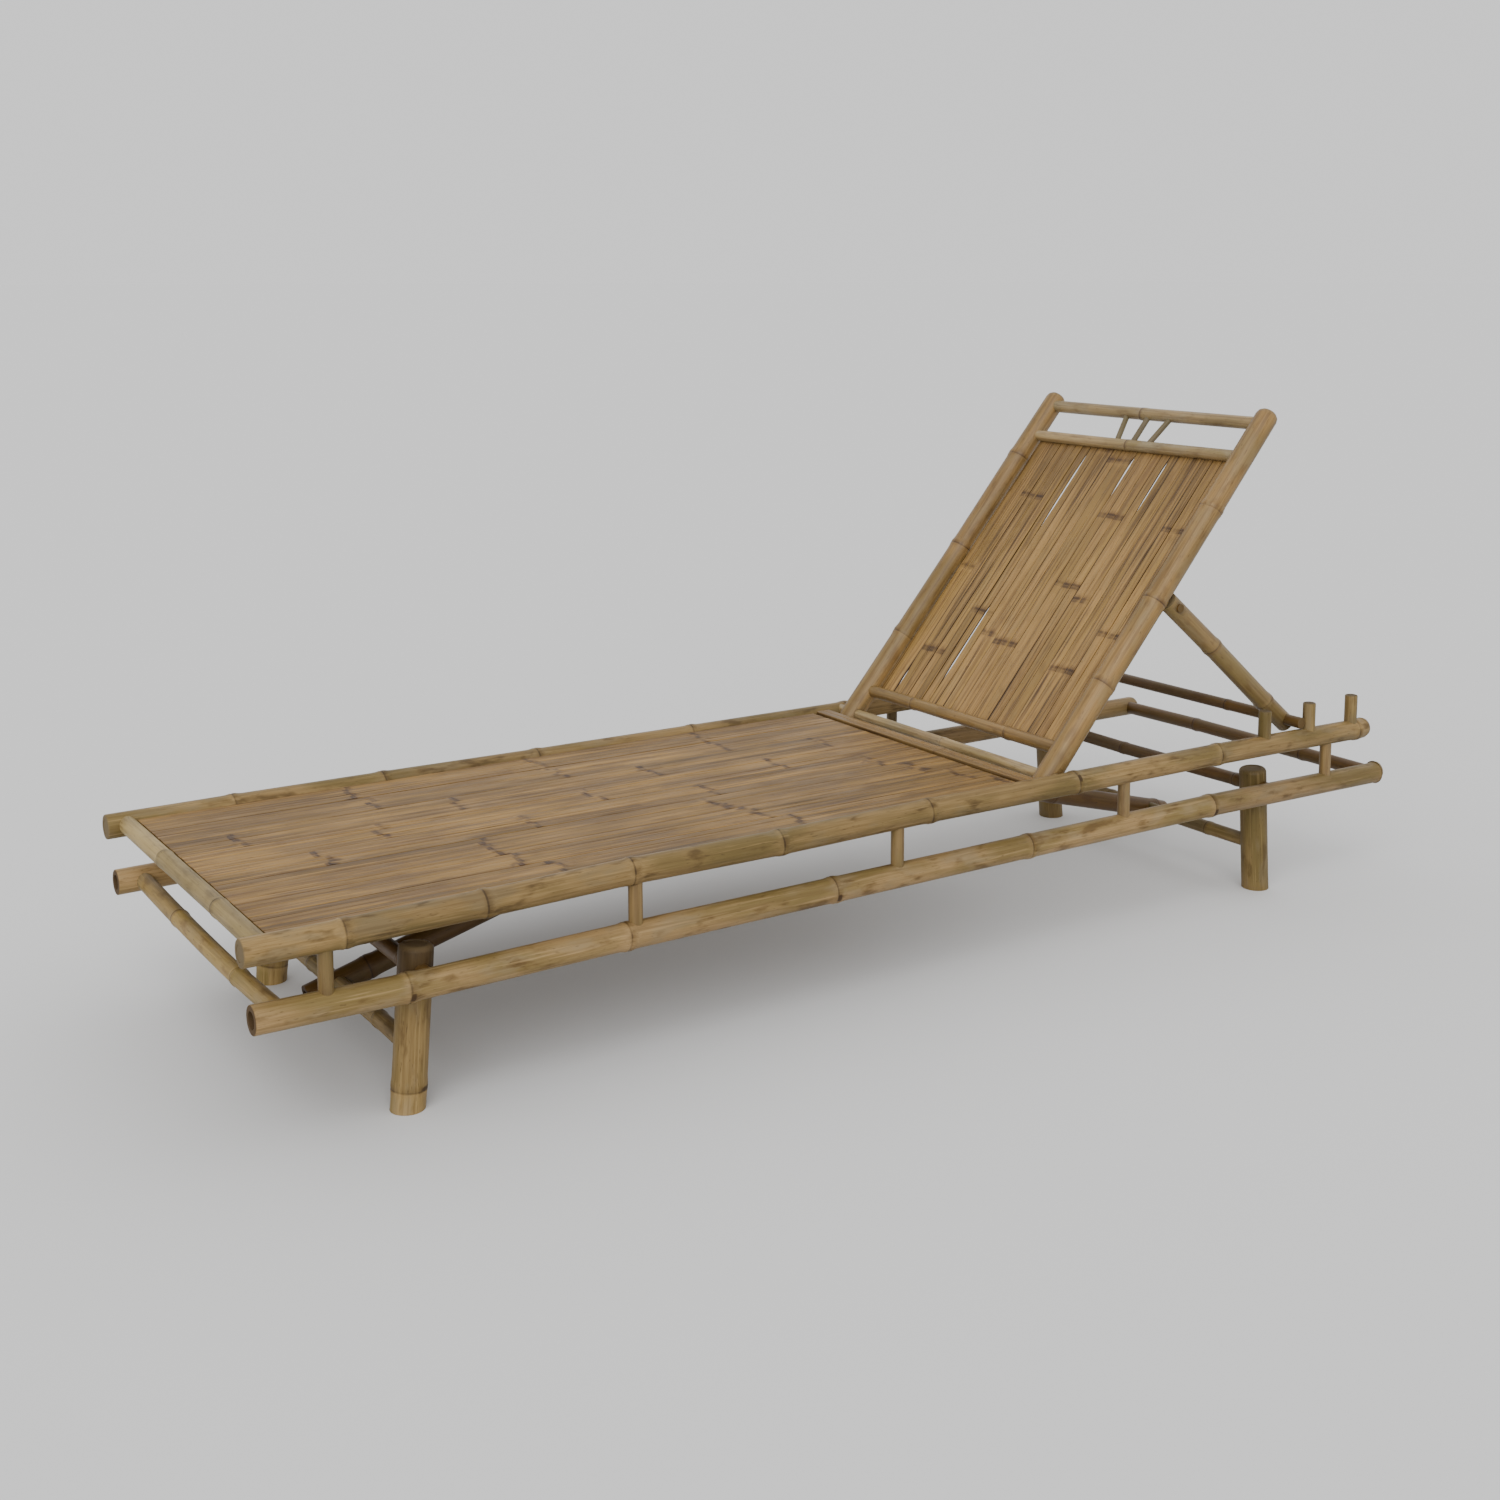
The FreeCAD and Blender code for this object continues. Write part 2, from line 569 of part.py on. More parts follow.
def make_back_pole(side, sign):
    """A side pole of the backrest, bored for the pivot rod and the bars' tenons."""
    name = "back_pole_" + side
    reach = "(back_pole_dia / 2 + overrun)"
    base = rod(name + "_pole", "back_pole_dia", "back_pole_tail + back_pole_reach",
               ("0", "0", "-back_pole_tail"))
    pivot = rod(name + "_pivot_hole", "pivot_rod_dia + 2 * running_gap", "2 * %s" % reach,
                ("-%s" % reach, "0", "0"), "x")
    hollow = rod(name + "_hollow", "back_pole_dia * hollow_dia_share",
                 "end_hollow_depth + overrun", ("0", "0", "back_pole_reach - end_hollow_depth"))
    tools = [pivot, hollow]
    for bar, bar_reach in BACK_BARS:
        tools.append(half_hole("%s_%s_hole" % (name, bar), bar + "_dia", reach, -sign, "0",
                               bar_reach))
    tools.append(half_hole(name + "_dowel_hole", "dowel_dia", reach, -sign, BACK_DOWEL_DEPTH,
                           "prop_reach"))
    node(name, cut(name, base, tools), ("%d * %s" % (sign, BACK_POLE_X), PIVOT_Y, PIVOT_Z),
         BACK_TILT)


def fan_rods(stem, extra, stop):
    """The fan's three sticks, or the holes for them, between the two upper bars."""
    rods = []
    for place_of in (-1, 0, 1):
        lean = "(%d * (fan_top_spread - fan_foot_spread))" % abs(place_of)
        length = "sqrt(fan_height ^ 2 + %s ^ 2)" % lean
        stick = rod("%s_%d" % (stem, place_of + 2), "fan_stick_dia + 2 * %s" % extra,
                    "%s - 2 * %s" % (length, stop))
        turn(stick, "atan(%s / fan_height)" % lean, place_of or 1, Y_AXIS)
        place(stick, ("%d * (fan_foot_spread + %s * %s / %s)" % (place_of, stop, lean, length), "0",
                      "%s + %s * fan_height / %s" % (UPPER_BAR_REACH, stop, length)))
        rods.append(stick)
    return rods


def panel_groove(name, bar, way):
    """The groove in a panel bar that takes the slats' ends."""
    height = "(%s_dia / 2 + overrun)" % bar
    start = "0" if way > 0 else "-%s" % height
    return box(name, ("2 * %s" % PANEL_HALF_WIDTH, "slat_thickness + 2 * fit_gap", height),
               ("-%s" % PANEL_HALF_WIDTH, "slat_depth - fit_gap",
                "%s + %s" % (dict(BACK_BARS)[bar], start)))


def make_back_bar(label, bar, tools):
    length = "(back_pole_spacing - 2 * tenon_stop)"
    base = rod(label + "_pole", bar + "_dia", length,
               ("-%s / 2" % length, "0", dict(BACK_BARS)[bar]), "x")
    node(label, cut(label, base, tools), BACK_AT, BACK_TILT)


def make_slats():
    """Thin split slats between the two panel bars, in three nodes."""
    for panel, panel_name in enumerate(PANEL_NAMES):
        slats = []
        for number in range(SLATS_PER_PANEL):
            index = panel * SLATS_PER_PANEL + number
            slats.append(box("slat_%d" % index,
                             ("%s - slat_split" % SLAT_PITCH, "slat_thickness", SLAT_REACH),
                             ("%d * %s - %s + slat_split / 2" % (index, SLAT_PITCH, PANEL_HALF_WIDTH),
                              "slat_depth", "lower_panel_bar_reach + tenon_stop")))
        label = "back_slats_" + panel_name
        node(label, group(label, slats), BACK_AT, BACK_TILT)


def hinge_nails(stem, dia):
    """Nails, or their holes, from the back of the prop's rod into the back crossbar."""
    length = "(prop_rod_dia + seat_gap + back_crossbar_dia / 2)"
    nails = []
    for place_of in (-1, 0, 1):
        nails.append(rod("%s_%d" % (stem, place_of + 2), dia, length,
                         ("%d * hinge_nail_spread" % place_of, BACK_CROSSBAR_DEPTH, "prop_reach"), "y"))
    return nails


def back_dowels(stem, dia):
    """Dowels, or their holes, from the back crossbar's ends into the side poles."""
    length = "(back_dowel_grip + back_pole_dia / 2)"
    right = "(%s - tenon_stop - %s)" % (BACK_POLE_X, length)
    starts = (right, "-%s - %s" % (right, length))
    return [rod("%s_%d" % (stem, number), dia, length, (start, BACK_DOWEL_DEPTH, "prop_reach"), "x")
            for number, start in enumerate(starts, start=1)]


def make_back_crossbar():
    """The hidden bar behind the slats that carries the prop's rod."""
    name = "back_crossbar"
    length = "(back_pole_spacing - back_pole_dia + 2 * back_crossbar_end_gap)"
    base = rod(name + "_pole", "back_crossbar_dia", length,
               ("-%s / 2" % length, BACK_CROSSBAR_DEPTH, "prop_reach"), "x")
    saddles = [rod("%s_saddle_%s" % (name, side), "back_pole_dia + 2 * seat_gap",
                   "2 * back_crossbar_dia",
                   ("%d * %s" % (sign, BACK_POLE_X), "0", "prop_reach - back_crossbar_dia"))
               for side, sign in SIDES]
    tools = saddles + back_dowels(name + "_dowel_hole", "dowel_dia + 2 * fit_gap")
    tools += hinge_nails(name + "_nail_hole", "hinge_nail_dia + 2 * fit_gap")
    node(name, cut(name, base, tools), BACK_AT, BACK_TILT)


def make_prop_rod():
    name = "prop_pivot_rod"
    length = "(back_pole_spacing + prop_pole_dia + 2 * overrun)"
    base = rod(name + "_bar", "prop_rod_dia", length,
               ("-%s / 2" % length, PROP_DEPTH, "prop_reach"), "x")
    node(name, cut(name, base, hinge_nails(name + "_nail_hole", "hinge_nail_dia + 2 * fit_gap")),
         BACK_AT, BACK_TILT)


def make_back_pins():
    pins = back_dowels("back_dowel", "dowel_dia") + hinge_nails("hinge_nail", "hinge_nail_dia")
    node("back_pins", group("back_pins", pins), BACK_AT, BACK_TILT)


def make_prop_pole(side, sign):
    """A leg of the prop, round-headed where it turns behind the backrest's pole."""
    name = "prop_pole_" + side
    neck = "(prop_pole_head - prop_pole_dia / 2)"
    pole = rod(name + "_pole", "prop_pole_dia", "%s + %s + prop_pole_foot" % (neck, PROP_LENGTH),
               ("0", "0", "-%s" % neck))
    head = doc.addObject("Part::Sphere", name + "_head")
    bind(head, "Radius", "prop_pole_dia / 2")
    place(head, ("0", "0", "-%s" % neck))
    reach = "(prop_pole_dia / 2 + overrun)"
    pivot = rod(name + "_pivot_hole", "prop_rod_dia + 2 * running_gap", "2 * %s" % reach,
                ("-%s" % reach, "0", "0"), "x")
    bar = rod(name + "_bar_hole", "prop_crossbar_dia + 2 * fit_gap", "2 * %s" % reach,
              ("-%s" % reach, "0", PROP_LENGTH), "x")
    node(name, cut(name, joined(name + "_whole", [pole, head]), [pivot, bar]),
         ("%d * %s" % (sign, BACK_POLE_X), PROP_Y, PROP_Z), PROP_TILT)


for side, sign in SIDES:
    make_upper_rail(side, sign)
    make_lower_rail(side, sign)
    make_posts(side, sign)
    make_pegs(side, sign)
    for leg, station, way in LEGS:
        make_leg(leg, station, way, side, sign)

make_crossbar("foot_top_crossbar", "foot_top_bar_dia", "rail_spacing",
              "foot_top_bar_station - %s" % CENTRE, "upper_rail_height + foot_top_bar_rise")
make_crossbar("foot_lower_crossbar", "end_bar_dia", "rail_spacing",
              "foot_lower_bar_station - %s" % CENTRE, "lower_rail_height")
make_crossbar("head_lower_crossbar", "end_bar_dia", "rail_spacing",
              "%s - %s" % (HEAD_LOWER_BAR, CENTRE), "lower_rail_height")
make_crossbar("backrest_pivot_rod", "pivot_rod_dia", "rail_spacing", PIVOT_Y, PIVOT_Z)

for leg, station, way in LEGS:
    make_crossbar("leg_crossbar_" + leg, "leg_bar_dia", "rail_spacing",
                  "%s - %s" % (station, CENTRE), "leg_bar_height")
    make_crossbar("leg_stretcher_" + leg, "stretcher_dia", "2 * %s" % LEG_X,
                  "%s + %d * %s - %s" % (station, way, STRETCHER_SHIFT, CENTRE),
                  "stretcher_height")
    make_brace(leg, station, way)
make_brace_dowels()

for which, station in BATTENS:
    make_batten(which, station)
for number in range(1, BOARD_COUNT + 1):
    make_deck_board(number)
make_end_strip()
make_deck_nails()

for side, sign in SIDES:
    make_back_pole(side, sign)
make_back_bar("lower_panel_crossbar", "lower_panel_bar",
              [panel_groove("lower_groove", "lower_panel_bar", 1)])
make_back_bar("upper_panel_crossbar", "upper_panel_bar",
              [panel_groove("upper_groove", "upper_panel_bar", -1)]
              + fan_rods("upper_bar_fan_hole", "fit_gap", "0"))
make_back_bar("backrest_top_crossbar", "top_bar", fan_rods("top_bar_fan_hole", "fit_gap", "0"))
node("fan_sticks", group("fan_sticks", fan_rods("fan_stick", "0", "tenon_stop")), BACK_AT, BACK_TILT)
make_slats()
make_back_crossbar()
make_prop_rod()
make_back_pins()

for side, sign in SIDES:
    make_prop_pole(side, sign)
make_crossbar("prop_crossbar", "prop_crossbar_dia", "(prop_crossbar_length + 2 * tenon_stop)",
              REST_Y, REST_Z)

doc.recompute()
for thing in doc.Objects:
    if "Invalid" in thing.State or "Error" in thing.State:
        raise RuntimeError("%s did not compute: %s" % (thing.Label, thing.State))
os.makedirs("parts", exist_ok=True)
for label, thing in nodes:
    shape = thing.Shape
    if shape.isNull() or not shape.isValid():
        raise RuntimeError("%s has no valid shape" % label)
    shape.exportStep("parts/%s.step" % label)
print("%d nodes" % len(nodes))
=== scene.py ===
"""Bamboo sun lounger: the looks of every culm, board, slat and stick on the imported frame."""

import logging
import math
from dataclasses import asdict, dataclass, field, replace
from enum import Enum
from typing import Callable, Sequence

import bmesh
import bpy
import numpy as np
from mathutils import Matrix, Vector


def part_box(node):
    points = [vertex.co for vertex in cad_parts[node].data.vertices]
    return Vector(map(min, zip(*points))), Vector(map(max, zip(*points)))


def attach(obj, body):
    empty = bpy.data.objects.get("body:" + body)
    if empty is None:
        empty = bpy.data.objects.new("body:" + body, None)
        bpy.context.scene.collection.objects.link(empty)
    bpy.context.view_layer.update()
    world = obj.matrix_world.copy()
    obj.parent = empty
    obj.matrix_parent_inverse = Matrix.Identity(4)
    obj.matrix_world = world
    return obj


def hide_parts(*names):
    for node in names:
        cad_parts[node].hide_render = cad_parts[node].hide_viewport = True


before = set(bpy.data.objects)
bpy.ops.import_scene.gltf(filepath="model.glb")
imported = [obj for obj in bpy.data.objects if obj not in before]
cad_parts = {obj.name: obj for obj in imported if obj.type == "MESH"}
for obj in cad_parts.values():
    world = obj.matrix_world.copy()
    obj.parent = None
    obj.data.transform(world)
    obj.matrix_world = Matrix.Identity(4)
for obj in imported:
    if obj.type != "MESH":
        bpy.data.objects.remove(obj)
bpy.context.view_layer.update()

MM = 0.001
LOG = logging.getLogger("lounger")
Colour = tuple[float, float, float]
X, Y, Z = Vector((1, 0, 0)), Vector((0, 1, 0)), Vector((0, 0, 1))


class Body(Enum):
    """The moving bodies of the lounger."""

    FRAME = "frame"
    BACKREST = "backrest"
    PROP = "prop"


class Grain(Enum):
    """Where a finish finds its way along the fibres."""

    GROWN = "grown"
    ACROSS_X = "across_x"


class Mouth(Enum):
    """How deep the open end of a culm is, as a share of its radius."""

    SHUT = 0.03
    SHALLOW = 0.35
    OPEN = 1.1


class Draw(Enum):
    """What each seeded random number of the bamboo tree decides."""

    STRIP_SCATTER = 1, 31
    END = 3
    SIDE_KINK = 4, 17
    KINK = 5, 17
    SINK = 6
    INTERNODE = 7, 13
    GROUP_TONE = 8
    LEAN = 9, 19
    LEAN_ASIDE = 10, 19
    CANT = 11
    STRIP_TONE = 12
    ZIGZAG = 14, 31
    BUD_TURN = 15
    BUD = 16, 23
    SPLIT = 20
    DRIFT = 40

    def __init__(self, salt: int, stride: int = 1) -> None:
        """Keep its own salt, and how far the identities of two strips lie apart."""
        self.salt = salt
        self.stride = stride


@dataclass(frozen=True)
class End:
    """How the end of a culm is worked: how deep it is open, how far rounded over, how dark."""

    mouth: Mouth
    rounding: float
    dark: float = 0.0


SAWN, DISC = End(Mouth.SHUT, 0.04), End(Mouth.SHUT, 0.1, 0.15)
# HOLLOW's dark of 0.92 paints shade over an open end's rim and bore.
HOLLOW, CUP = End(Mouth.OPEN, 0.06, 0.92), End(Mouth.SHALLOW, 0.12, 0.3)
DOMED, CAPPED = End(Mouth.SHUT, 0.6, 0.15), End(Mouth.SHUT, 0.28, 0.35)
PEG_TOP = End(Mouth.SHUT, 0.2, 0.55)


def arithmetic(operation: str, swapped: bool = False) -> Callable[["Field", "Number"], "Field"]:
    """One arithmetic sign of a field.

    Args:
        operation: What its Math node does.
        swapped: Whether the other number stands first.

    Returns:
        The method that adds the node.
    """
    def apply(own: "Field", other: "Number") -> "Field":
        """Add the Math node."""
        return own.graph.math(operation, *((other, own) if swapped else (own, other)))
    return apply


class Field:
    """A number that varies over a surface, written like a plain number."""

    __add__, __radd__ = arithmetic("ADD"), arithmetic("ADD", swapped=True)
    __sub__, __rsub__ = arithmetic("SUBTRACT"), arithmetic("SUBTRACT", swapped=True)
    __mul__, __rmul__ = arithmetic("MULTIPLY"), arithmetic("MULTIPLY", swapped=True)
    __truediv__, __rtruediv__ = arithmetic("DIVIDE"), arithmetic("DIVIDE", swapped=True)
    __lt__, __gt__ = arithmetic("LESS_THAN"), arithmetic("GREATER_THAN")

    def __init__(self, graph: "Graph", socket: bpy.types.NodeSocket) -> None:
        """Keep the socket and the graph it belongs to."""
        self.graph = graph
        self.socket = socket


Number = Field | float | int


class Graph:
    """A node tree that is built with arithmetic."""

    def __init__(self, tree: bpy.types.NodeTree) -> None:
        """Start on a tree."""
        self.tree = tree

    def node(self, kind: str, inputs: dict[str | int, object] | None = None,
             **settings: object) -> bpy.types.Node:
        """Add a node, set its own options, then feed its inputs.

        Args:
            kind: The node's type.
            inputs: Fields, sockets or plain values, by the input's name or number.
            settings: The node's own options.

        Returns:
            The node.
        """
        made = self.tree.nodes.new(kind)
        for name, value in settings.items():
            setattr(made, name, value)
        for name, value in (inputs or {}).items():
            self.feed(made.inputs[name], value)
        return made

    def feed(self, socket: bpy.types.NodeSocket, value: object) -> None:
        """Give a socket a field, another socket or a plain value.

        Args:
            socket: The input to feed.
            value: What it gets.
        """
        if isinstance(value, Field):
            value = value.socket
        if isinstance(value, bpy.types.NodeSocket):
            self.tree.links.new(value, socket)
        else:
            socket.default_value = value

    def math(self, operation: str, *values: Number) -> Field:
        """Add a Math node."""
        made = self.node("ShaderNodeMath", dict(enumerate(values)), operation=operation)
        return Field(self, made.outputs[0])

    def floor(self, value: Number) -> Field:
        """Round down."""
        return self.math("FLOOR", value)

    def size(self, value: Number) -> Field:
        """A number without its sign."""
        return self.math("ABSOLUTE", value)

    def least(self, first: Number, second: Number) -> Field:
        """The smaller of two."""
        return self.math("MINIMUM", first, second)

    def most(self, first: Number, second: Number) -> Field:
        """The larger of two."""
        return self.math("MAXIMUM", first, second)

    def between(self, value: Number, low: Number, high: Number) -> Field:
        """Hold a value within two limits."""
        return self.least(self.most(value, low), high)

    def blend(self, share: Number, first: Number, second: Number) -> Field:
        """Go from the first to the second as the share goes from nought to one."""
        return self.math("MULTIPLY_ADD", share, self.math("SUBTRACT", second, first), first)

    def hump(self, value: Field, middle: float, width: float) -> Field:
        """A smooth bump round a middle value."""
        away = (value - middle) / width
        return self.math("EXPONENT", -1.0 * (away * away))

    def step(self, value: Number, low: float, high: float) -> Field:
        """Rise smoothly from nought at the low value to one at the high value.

        Args:
            value: What is read.
            low: Where the rise begins.
            high: Where it is complete, below the low value for a fall.

        Returns:
            The rise as a field.
        """
        made = self.node("ShaderNodeMapRange", {"Value": value, "From Min": low, "From Max": high},
                         interpolation_type="SMOOTHSTEP")
        return Field(self, made.outputs["Result"])

    def vector(self, x: Number, y: Number, z: Number) -> bpy.types.NodeSocket:
        """Join three numbers to a vector."""
        return self.node("ShaderNodeCombineXYZ", {0: x, 1: y, 2: z}).outputs[0]

    def parts(self, socket: bpy.types.NodeSocket) -> tuple[Field, Field, Field]:
        """Split a vector into its three numbers."""
        made = self.node("ShaderNodeSeparateXYZ", {0: socket})
        return tuple(Field(self, output) for output in made.outputs)

    def attribute(self, name: str) -> tuple[Field, Field, Field]:
        """The three numbers of a vector kept on the mesh."""
        made = self.node("ShaderNodeAttribute", attribute_name=name)
        return self.parts(made.outputs["Vector"])

    def noise(self, at: bpy.types.NodeSocket, scale: float, detail: float) -> Field:
        """Soft noise from nought to one.

        Args:
            at: The place to read it at.
            scale: Lumps per unit.
            detail: Octaves.

        Returns:
            The noise as a field.
        """
        made = self.node("ShaderNodeTexNoise", {"Vector": at, "Scale": scale, "Detail": detail})
        return Field(self, made.outputs[0])

    def tint(self, share: Number, first: object, second: object) -> bpy.types.NodeSocket:
        """Mix two colours, each a plain colour or a socket.

        Args:
            share: How much of the second colour shows.
            first: The colour underneath.
            second: The colour on top.

        Returns:
            The mixed colour.
        """
        first, second = ((*value, 1.0) if isinstance(value, tuple) else value
                         for value in (first, second))
        made = self.node("ShaderNodeMix", {0: share, 6: first, 7: second}, data_type="RGBA",
                         clamp_factor=True)
        return made.outputs[2]


def placed(name: str, data: bpy.types.ID) -> bpy.types.Object:
    """A new object in the scene.

    Args:
        name: Its name.
        data: The mesh, lamp or camera it shows.

    Returns:
        The object.
    """
    made = bpy.data.objects.new(name, data)
    bpy.context.scene.collection.objects.link(made)
    return made


def evaluated(thing: bpy.types.Object) -> bpy.types.Mesh:
    """A plain mesh of what an object's modifiers make of it.

    Args:
        thing: The object.

    Returns:
        The mesh, with every attribute it grew.
    """
    depsgraph = bpy.context.evaluated_depsgraph_get()
    return bpy.data.meshes.new_from_object(thing.evaluated_get(depsgraph),
                                           preserve_all_data_layers=True, depsgraph=depsgraph)


@dataclass(frozen=True)
class RingRow:
    """One ring of vertices beside a node, in ring widths from the scar."""

    offset: float
    height: float


@dataclass(frozen=True)
class EndRow:
    """One ring of vertices at a cut end: where it lies from the centre out, and how cut it is."""

    bore: float
    rim: float
    rounding: float
    mouth: float
    depth: float
    cut: float


RING_ROWS = (RingRow(-6.0, 0.0), RingRow(-3.0, 0.18), RingRow(-1.5, 0.55), RingRow(-0.6, 0.88),
             RingRow(-0.15, 0.6), RingRow(0.2, 0.58), RingRow(0.7, 0.82), RingRow(1.5, 1.0),
             RingRow(2.6, 0.86), RingRow(4.2, 0.38), RingRow(6.5, 0.0))
RING_REACH = RING_ROWS[-1].offset
END_ROWS = (EndRow(0.0, 0.0, 0.0, 1.0, 0.0, 1.0), EndRow(1.0, 0.0, 0.0, 1.0, 0.0, 1.0),
            EndRow(1.0, 0.0, 0.0, 0.0, 0.0, 1.0), EndRow(0.0, 1.0, 1.0, 0.0, 0.0, 1.0),
            EndRow(0.0, 1.0, 0.5, 0.0, 0.134, 0.7), EndRow(0.0, 1.0, 0.134, 0.0, 0.5, 0.3),
            EndRow(0.0, 1.0, 0.0, 0.0, 1.0, 0.0))
MIDDLE_ROWS = 5
WELD = 0.01 * MM


class StickTree:
    """The Geometry Nodes tree that grows culms, sticks and split strips along Z."""

    NUMBERS = {"Length": 1.0, "Span": 0.04, "Half Depth": 0.02, "Squareness": 1.0,
               "First Node": 0.1, "Internode": 0.3, "Ring Height": 0.001, "Ring Width": 0.003,
               "Bud Height": 0.001, "Foot Round": 0.0007, "Head Round": 0.0007}
    NUMBERS |= dict.fromkeys(
        ("Flat Side", "Internode Growth", "Strip Scatter", "Ring Proud", "Ring Tilt", "Kink",
         "Side Kink", "Bow", "Taper", "Roughness", "Sink", "Cant", "Strip Shift", "Zigzag",
         "Edge Scatter", "Edge Sway", "Gap", "Slit", "End Scatter", "Foot Mouth", "Head Mouth",
         "Foot Dark", "Head Dark", "Bud Share"), 0.0)
    SLITS = ("Slit 1", "Slit 2", "Slit 3")
    NUMBERS |= {slit + ask: -1.0 for slit in SLITS for ask in ("", " From", " To")}
    COUNTS = {"Strips": 1, "Group": 1, "Nodes": 3, "Sides": 28, "Seed": 0}
    DRAW_STRIDE, DRIFT_REACH, DRIFT_ALONG, NUDGE = 1009, 60.0, 10, 0.001
    SPLIT_STRIDE, SPLIT_LUMPS, SPLIT_SALT = 7.13, 2.6, 3.7
    GAP_LUMPS, GAP_SALT, GAP_FROM, GAP_FULL, GAP_LEAST = 5.0, 11.3, 0.48, 0.66, 0.08
    SLIT_EASE = 0.03
    BORE_SHARE, BORE_MARGIN = 0.6, 0.96
    BUD_FROM, BUD_FULL, BUD_OFFSET, BUD_WIDTH = 0.9, 0.99, 1.1, 1.5
    LUMP_STRIDE, LUMP_ROUND, LUMP_ALONG, LUMP_SCALE, LUMP_DETAIL = 7.3, 0.9, 14.0, 1.3, 2.0
    DEEP_MOUTH = 0.15
    GROUP_TONE, STRIP_TONE = 0.55, 0.45

    def __init__(self) -> None:
        """Build the tree and keep the identifier of each input."""
        self.tree = bpy.data.node_groups.new("grow_bamboo", "GeometryNodeTree")
        self.graph = Graph(self.tree)
        face = self.tree.interface
        face.new_socket("Geometry", in_out="OUTPUT", socket_type="NodeSocketGeometry")
        for kind, defaults in (("NodeSocketFloat", self.NUMBERS), ("NodeSocketInt", self.COUNTS)):
            for name, value in defaults.items():
                face.new_socket(name, in_out="INPUT", socket_type=kind).default_value = value
        face.new_socket("Material", in_out="INPUT", socket_type="NodeSocketMaterial")
        self.identifiers = {item.name: item.identifier for item in face.items_tree
                            if item.in_out == "INPUT"}
        self.inputs = self.graph.node("NodeGroupInput")
        self.drift = self.chance(Draw.DRIFT, 0) * self.DRIFT_REACH
        self.grow()

    def given(self, name: str) -> Field:
        """One of the tree's inputs."""
        return Field(self.graph, self.inputs.outputs[name])

    def chance(self, draw: Draw, place: Number, strip: Number = 0) -> Field:
        """A seeded random number from nought to one for each whole-number place and strip.

        Args:
            draw: What the number decides.
            place: Which node, split or strip it is for.
            strip: Which strip or group the place is on, where the place alone doesn't say.

        Returns:
            The number as a field.
        """
        identity = self.graph.math("ADD", place + strip * draw.stride,
                                   draw.salt * self.DRAW_STRIDE)
        made = self.graph.node("FunctionNodeRandomValue",
                               {"ID": identity, "Seed": self.given("Seed")}, data_type="FLOAT")
        return Field(self.graph, made.outputs[1])

    def swing(self, reach: Number, draw: Draw, place: Number, strip: Number = 0) -> Field:
        """A seeded random number to either side of nought, within half a reach."""
        return (self.chance(draw, place, strip) - 0.5) * reach

    def wander(self, identity: Field, along: Field, pace: float, salt: float) -> Field:
        """A smooth random line along a stick, about one half on average."""
        at = self.graph.vector(identity * self.SPLIT_STRIDE + self.drift, salt, along * pace)
        return self.graph.noise(at, 1.0, 1.0)

    def pick(self, index: Number, values: Sequence[Number]) -> Field:
        """The value at a whole-number index.

        Args:
            index: Which value.
            values: What there is to pick from.

        Returns:
            The value as a field.
        """
        made = self.graph.node("GeometryNodeIndexSwitch", data_type="FLOAT")
        while len(made.index_switch_items) < len(values):
            made.index_switch_items.new()
        for socket, value in zip(made.inputs, (index, *values)):
            self.graph.feed(socket, value)
        return Field(self.graph, made.outputs[0])

    def store(self, mesh: bpy.types.NodeSocket, name: str, value: bpy.types.NodeSocket,
              kind: str = "FLOAT_VECTOR") -> bpy.types.NodeSocket:
        """Write a value on the points of a mesh under a name.

        Args:
            mesh: The geometry.
            name: The attribute's name.
            value: What each point keeps.
            kind: The attribute's data type.

        Returns:
            The geometry with the attribute.
        """
        made = self.graph.node("GeometryNodeStoreNamedAttribute",
                               {"Geometry": mesh, "Name": name, "Value": value}, data_type=kind,
                               domain="POINT")
        return made.outputs["Geometry"]

    def strips_of_grid(self, rows: Field) -> tuple[bpy.types.NodeSocket, Field, Field, Field]:
        """Lay out one flat grid per strip.

        Args:
            rows: Rings of vertices along a strip.

        Returns:
            The realized mesh, and each vertex's row, column and strip.
        """
        graph, sides = self.graph, self.given("Sides")
        grid = graph.node("GeometryNodeMeshGrid", {"Vertices X": rows, "Vertices Y": sides + 1,
                                                   "Size X": rows - 1, "Size Y": sides})
        line = graph.node("GeometryNodeMeshLine",
                          {"Count": self.given("Strips"), "Offset": (0.0, 0.0, 0.0)})
        index = graph.node("GeometryNodeInputIndex").outputs[0]
        copies = graph.node("GeometryNodeInstanceOnPoints", {
            "Points": self.store(line.outputs["Mesh"], "strip", index, "FLOAT"),
            "Instance": grid.outputs["Mesh"]})
        real = graph.node("GeometryNodeRealizeInstances",
                          {"Geometry": copies.outputs["Instances"]})
        x, y, z = graph.parts(graph.node("GeometryNodeInputPosition").outputs[0])
        row = graph.floor(x + (rows - 1) / 2 + 0.5)
        column = graph.floor(y + sides / 2 + 0.5)
        strip = graph.node("GeometryNodeInputNamedAttribute", {"Name": "strip"},
                           data_type="FLOAT")
        return real.outputs["Geometry"], row, column, Field(graph, strip.outputs["Attribute"])

    def station(self, number: Field, strip: Field) -> Field:
        """How far along a strip its node of a given number lies.

        Args:
            number: Which node, nought at the foot.
            strip: Which strip.

        Returns:
            The place along the strip, in metres.
        """
        given = self.given
        spread = given("Internode") + given("Internode Growth") * (number - 1) / 2
        group = self.graph.floor(strip / given("Group"))
        own = self.swing(given("Strip Scatter"), Draw.STRIP_SCATTER, number, group)
        own = own + self.swing(given("Zigzag"), Draw.ZIGZAG, number, strip)
        return given("First Node") + number * spread + own

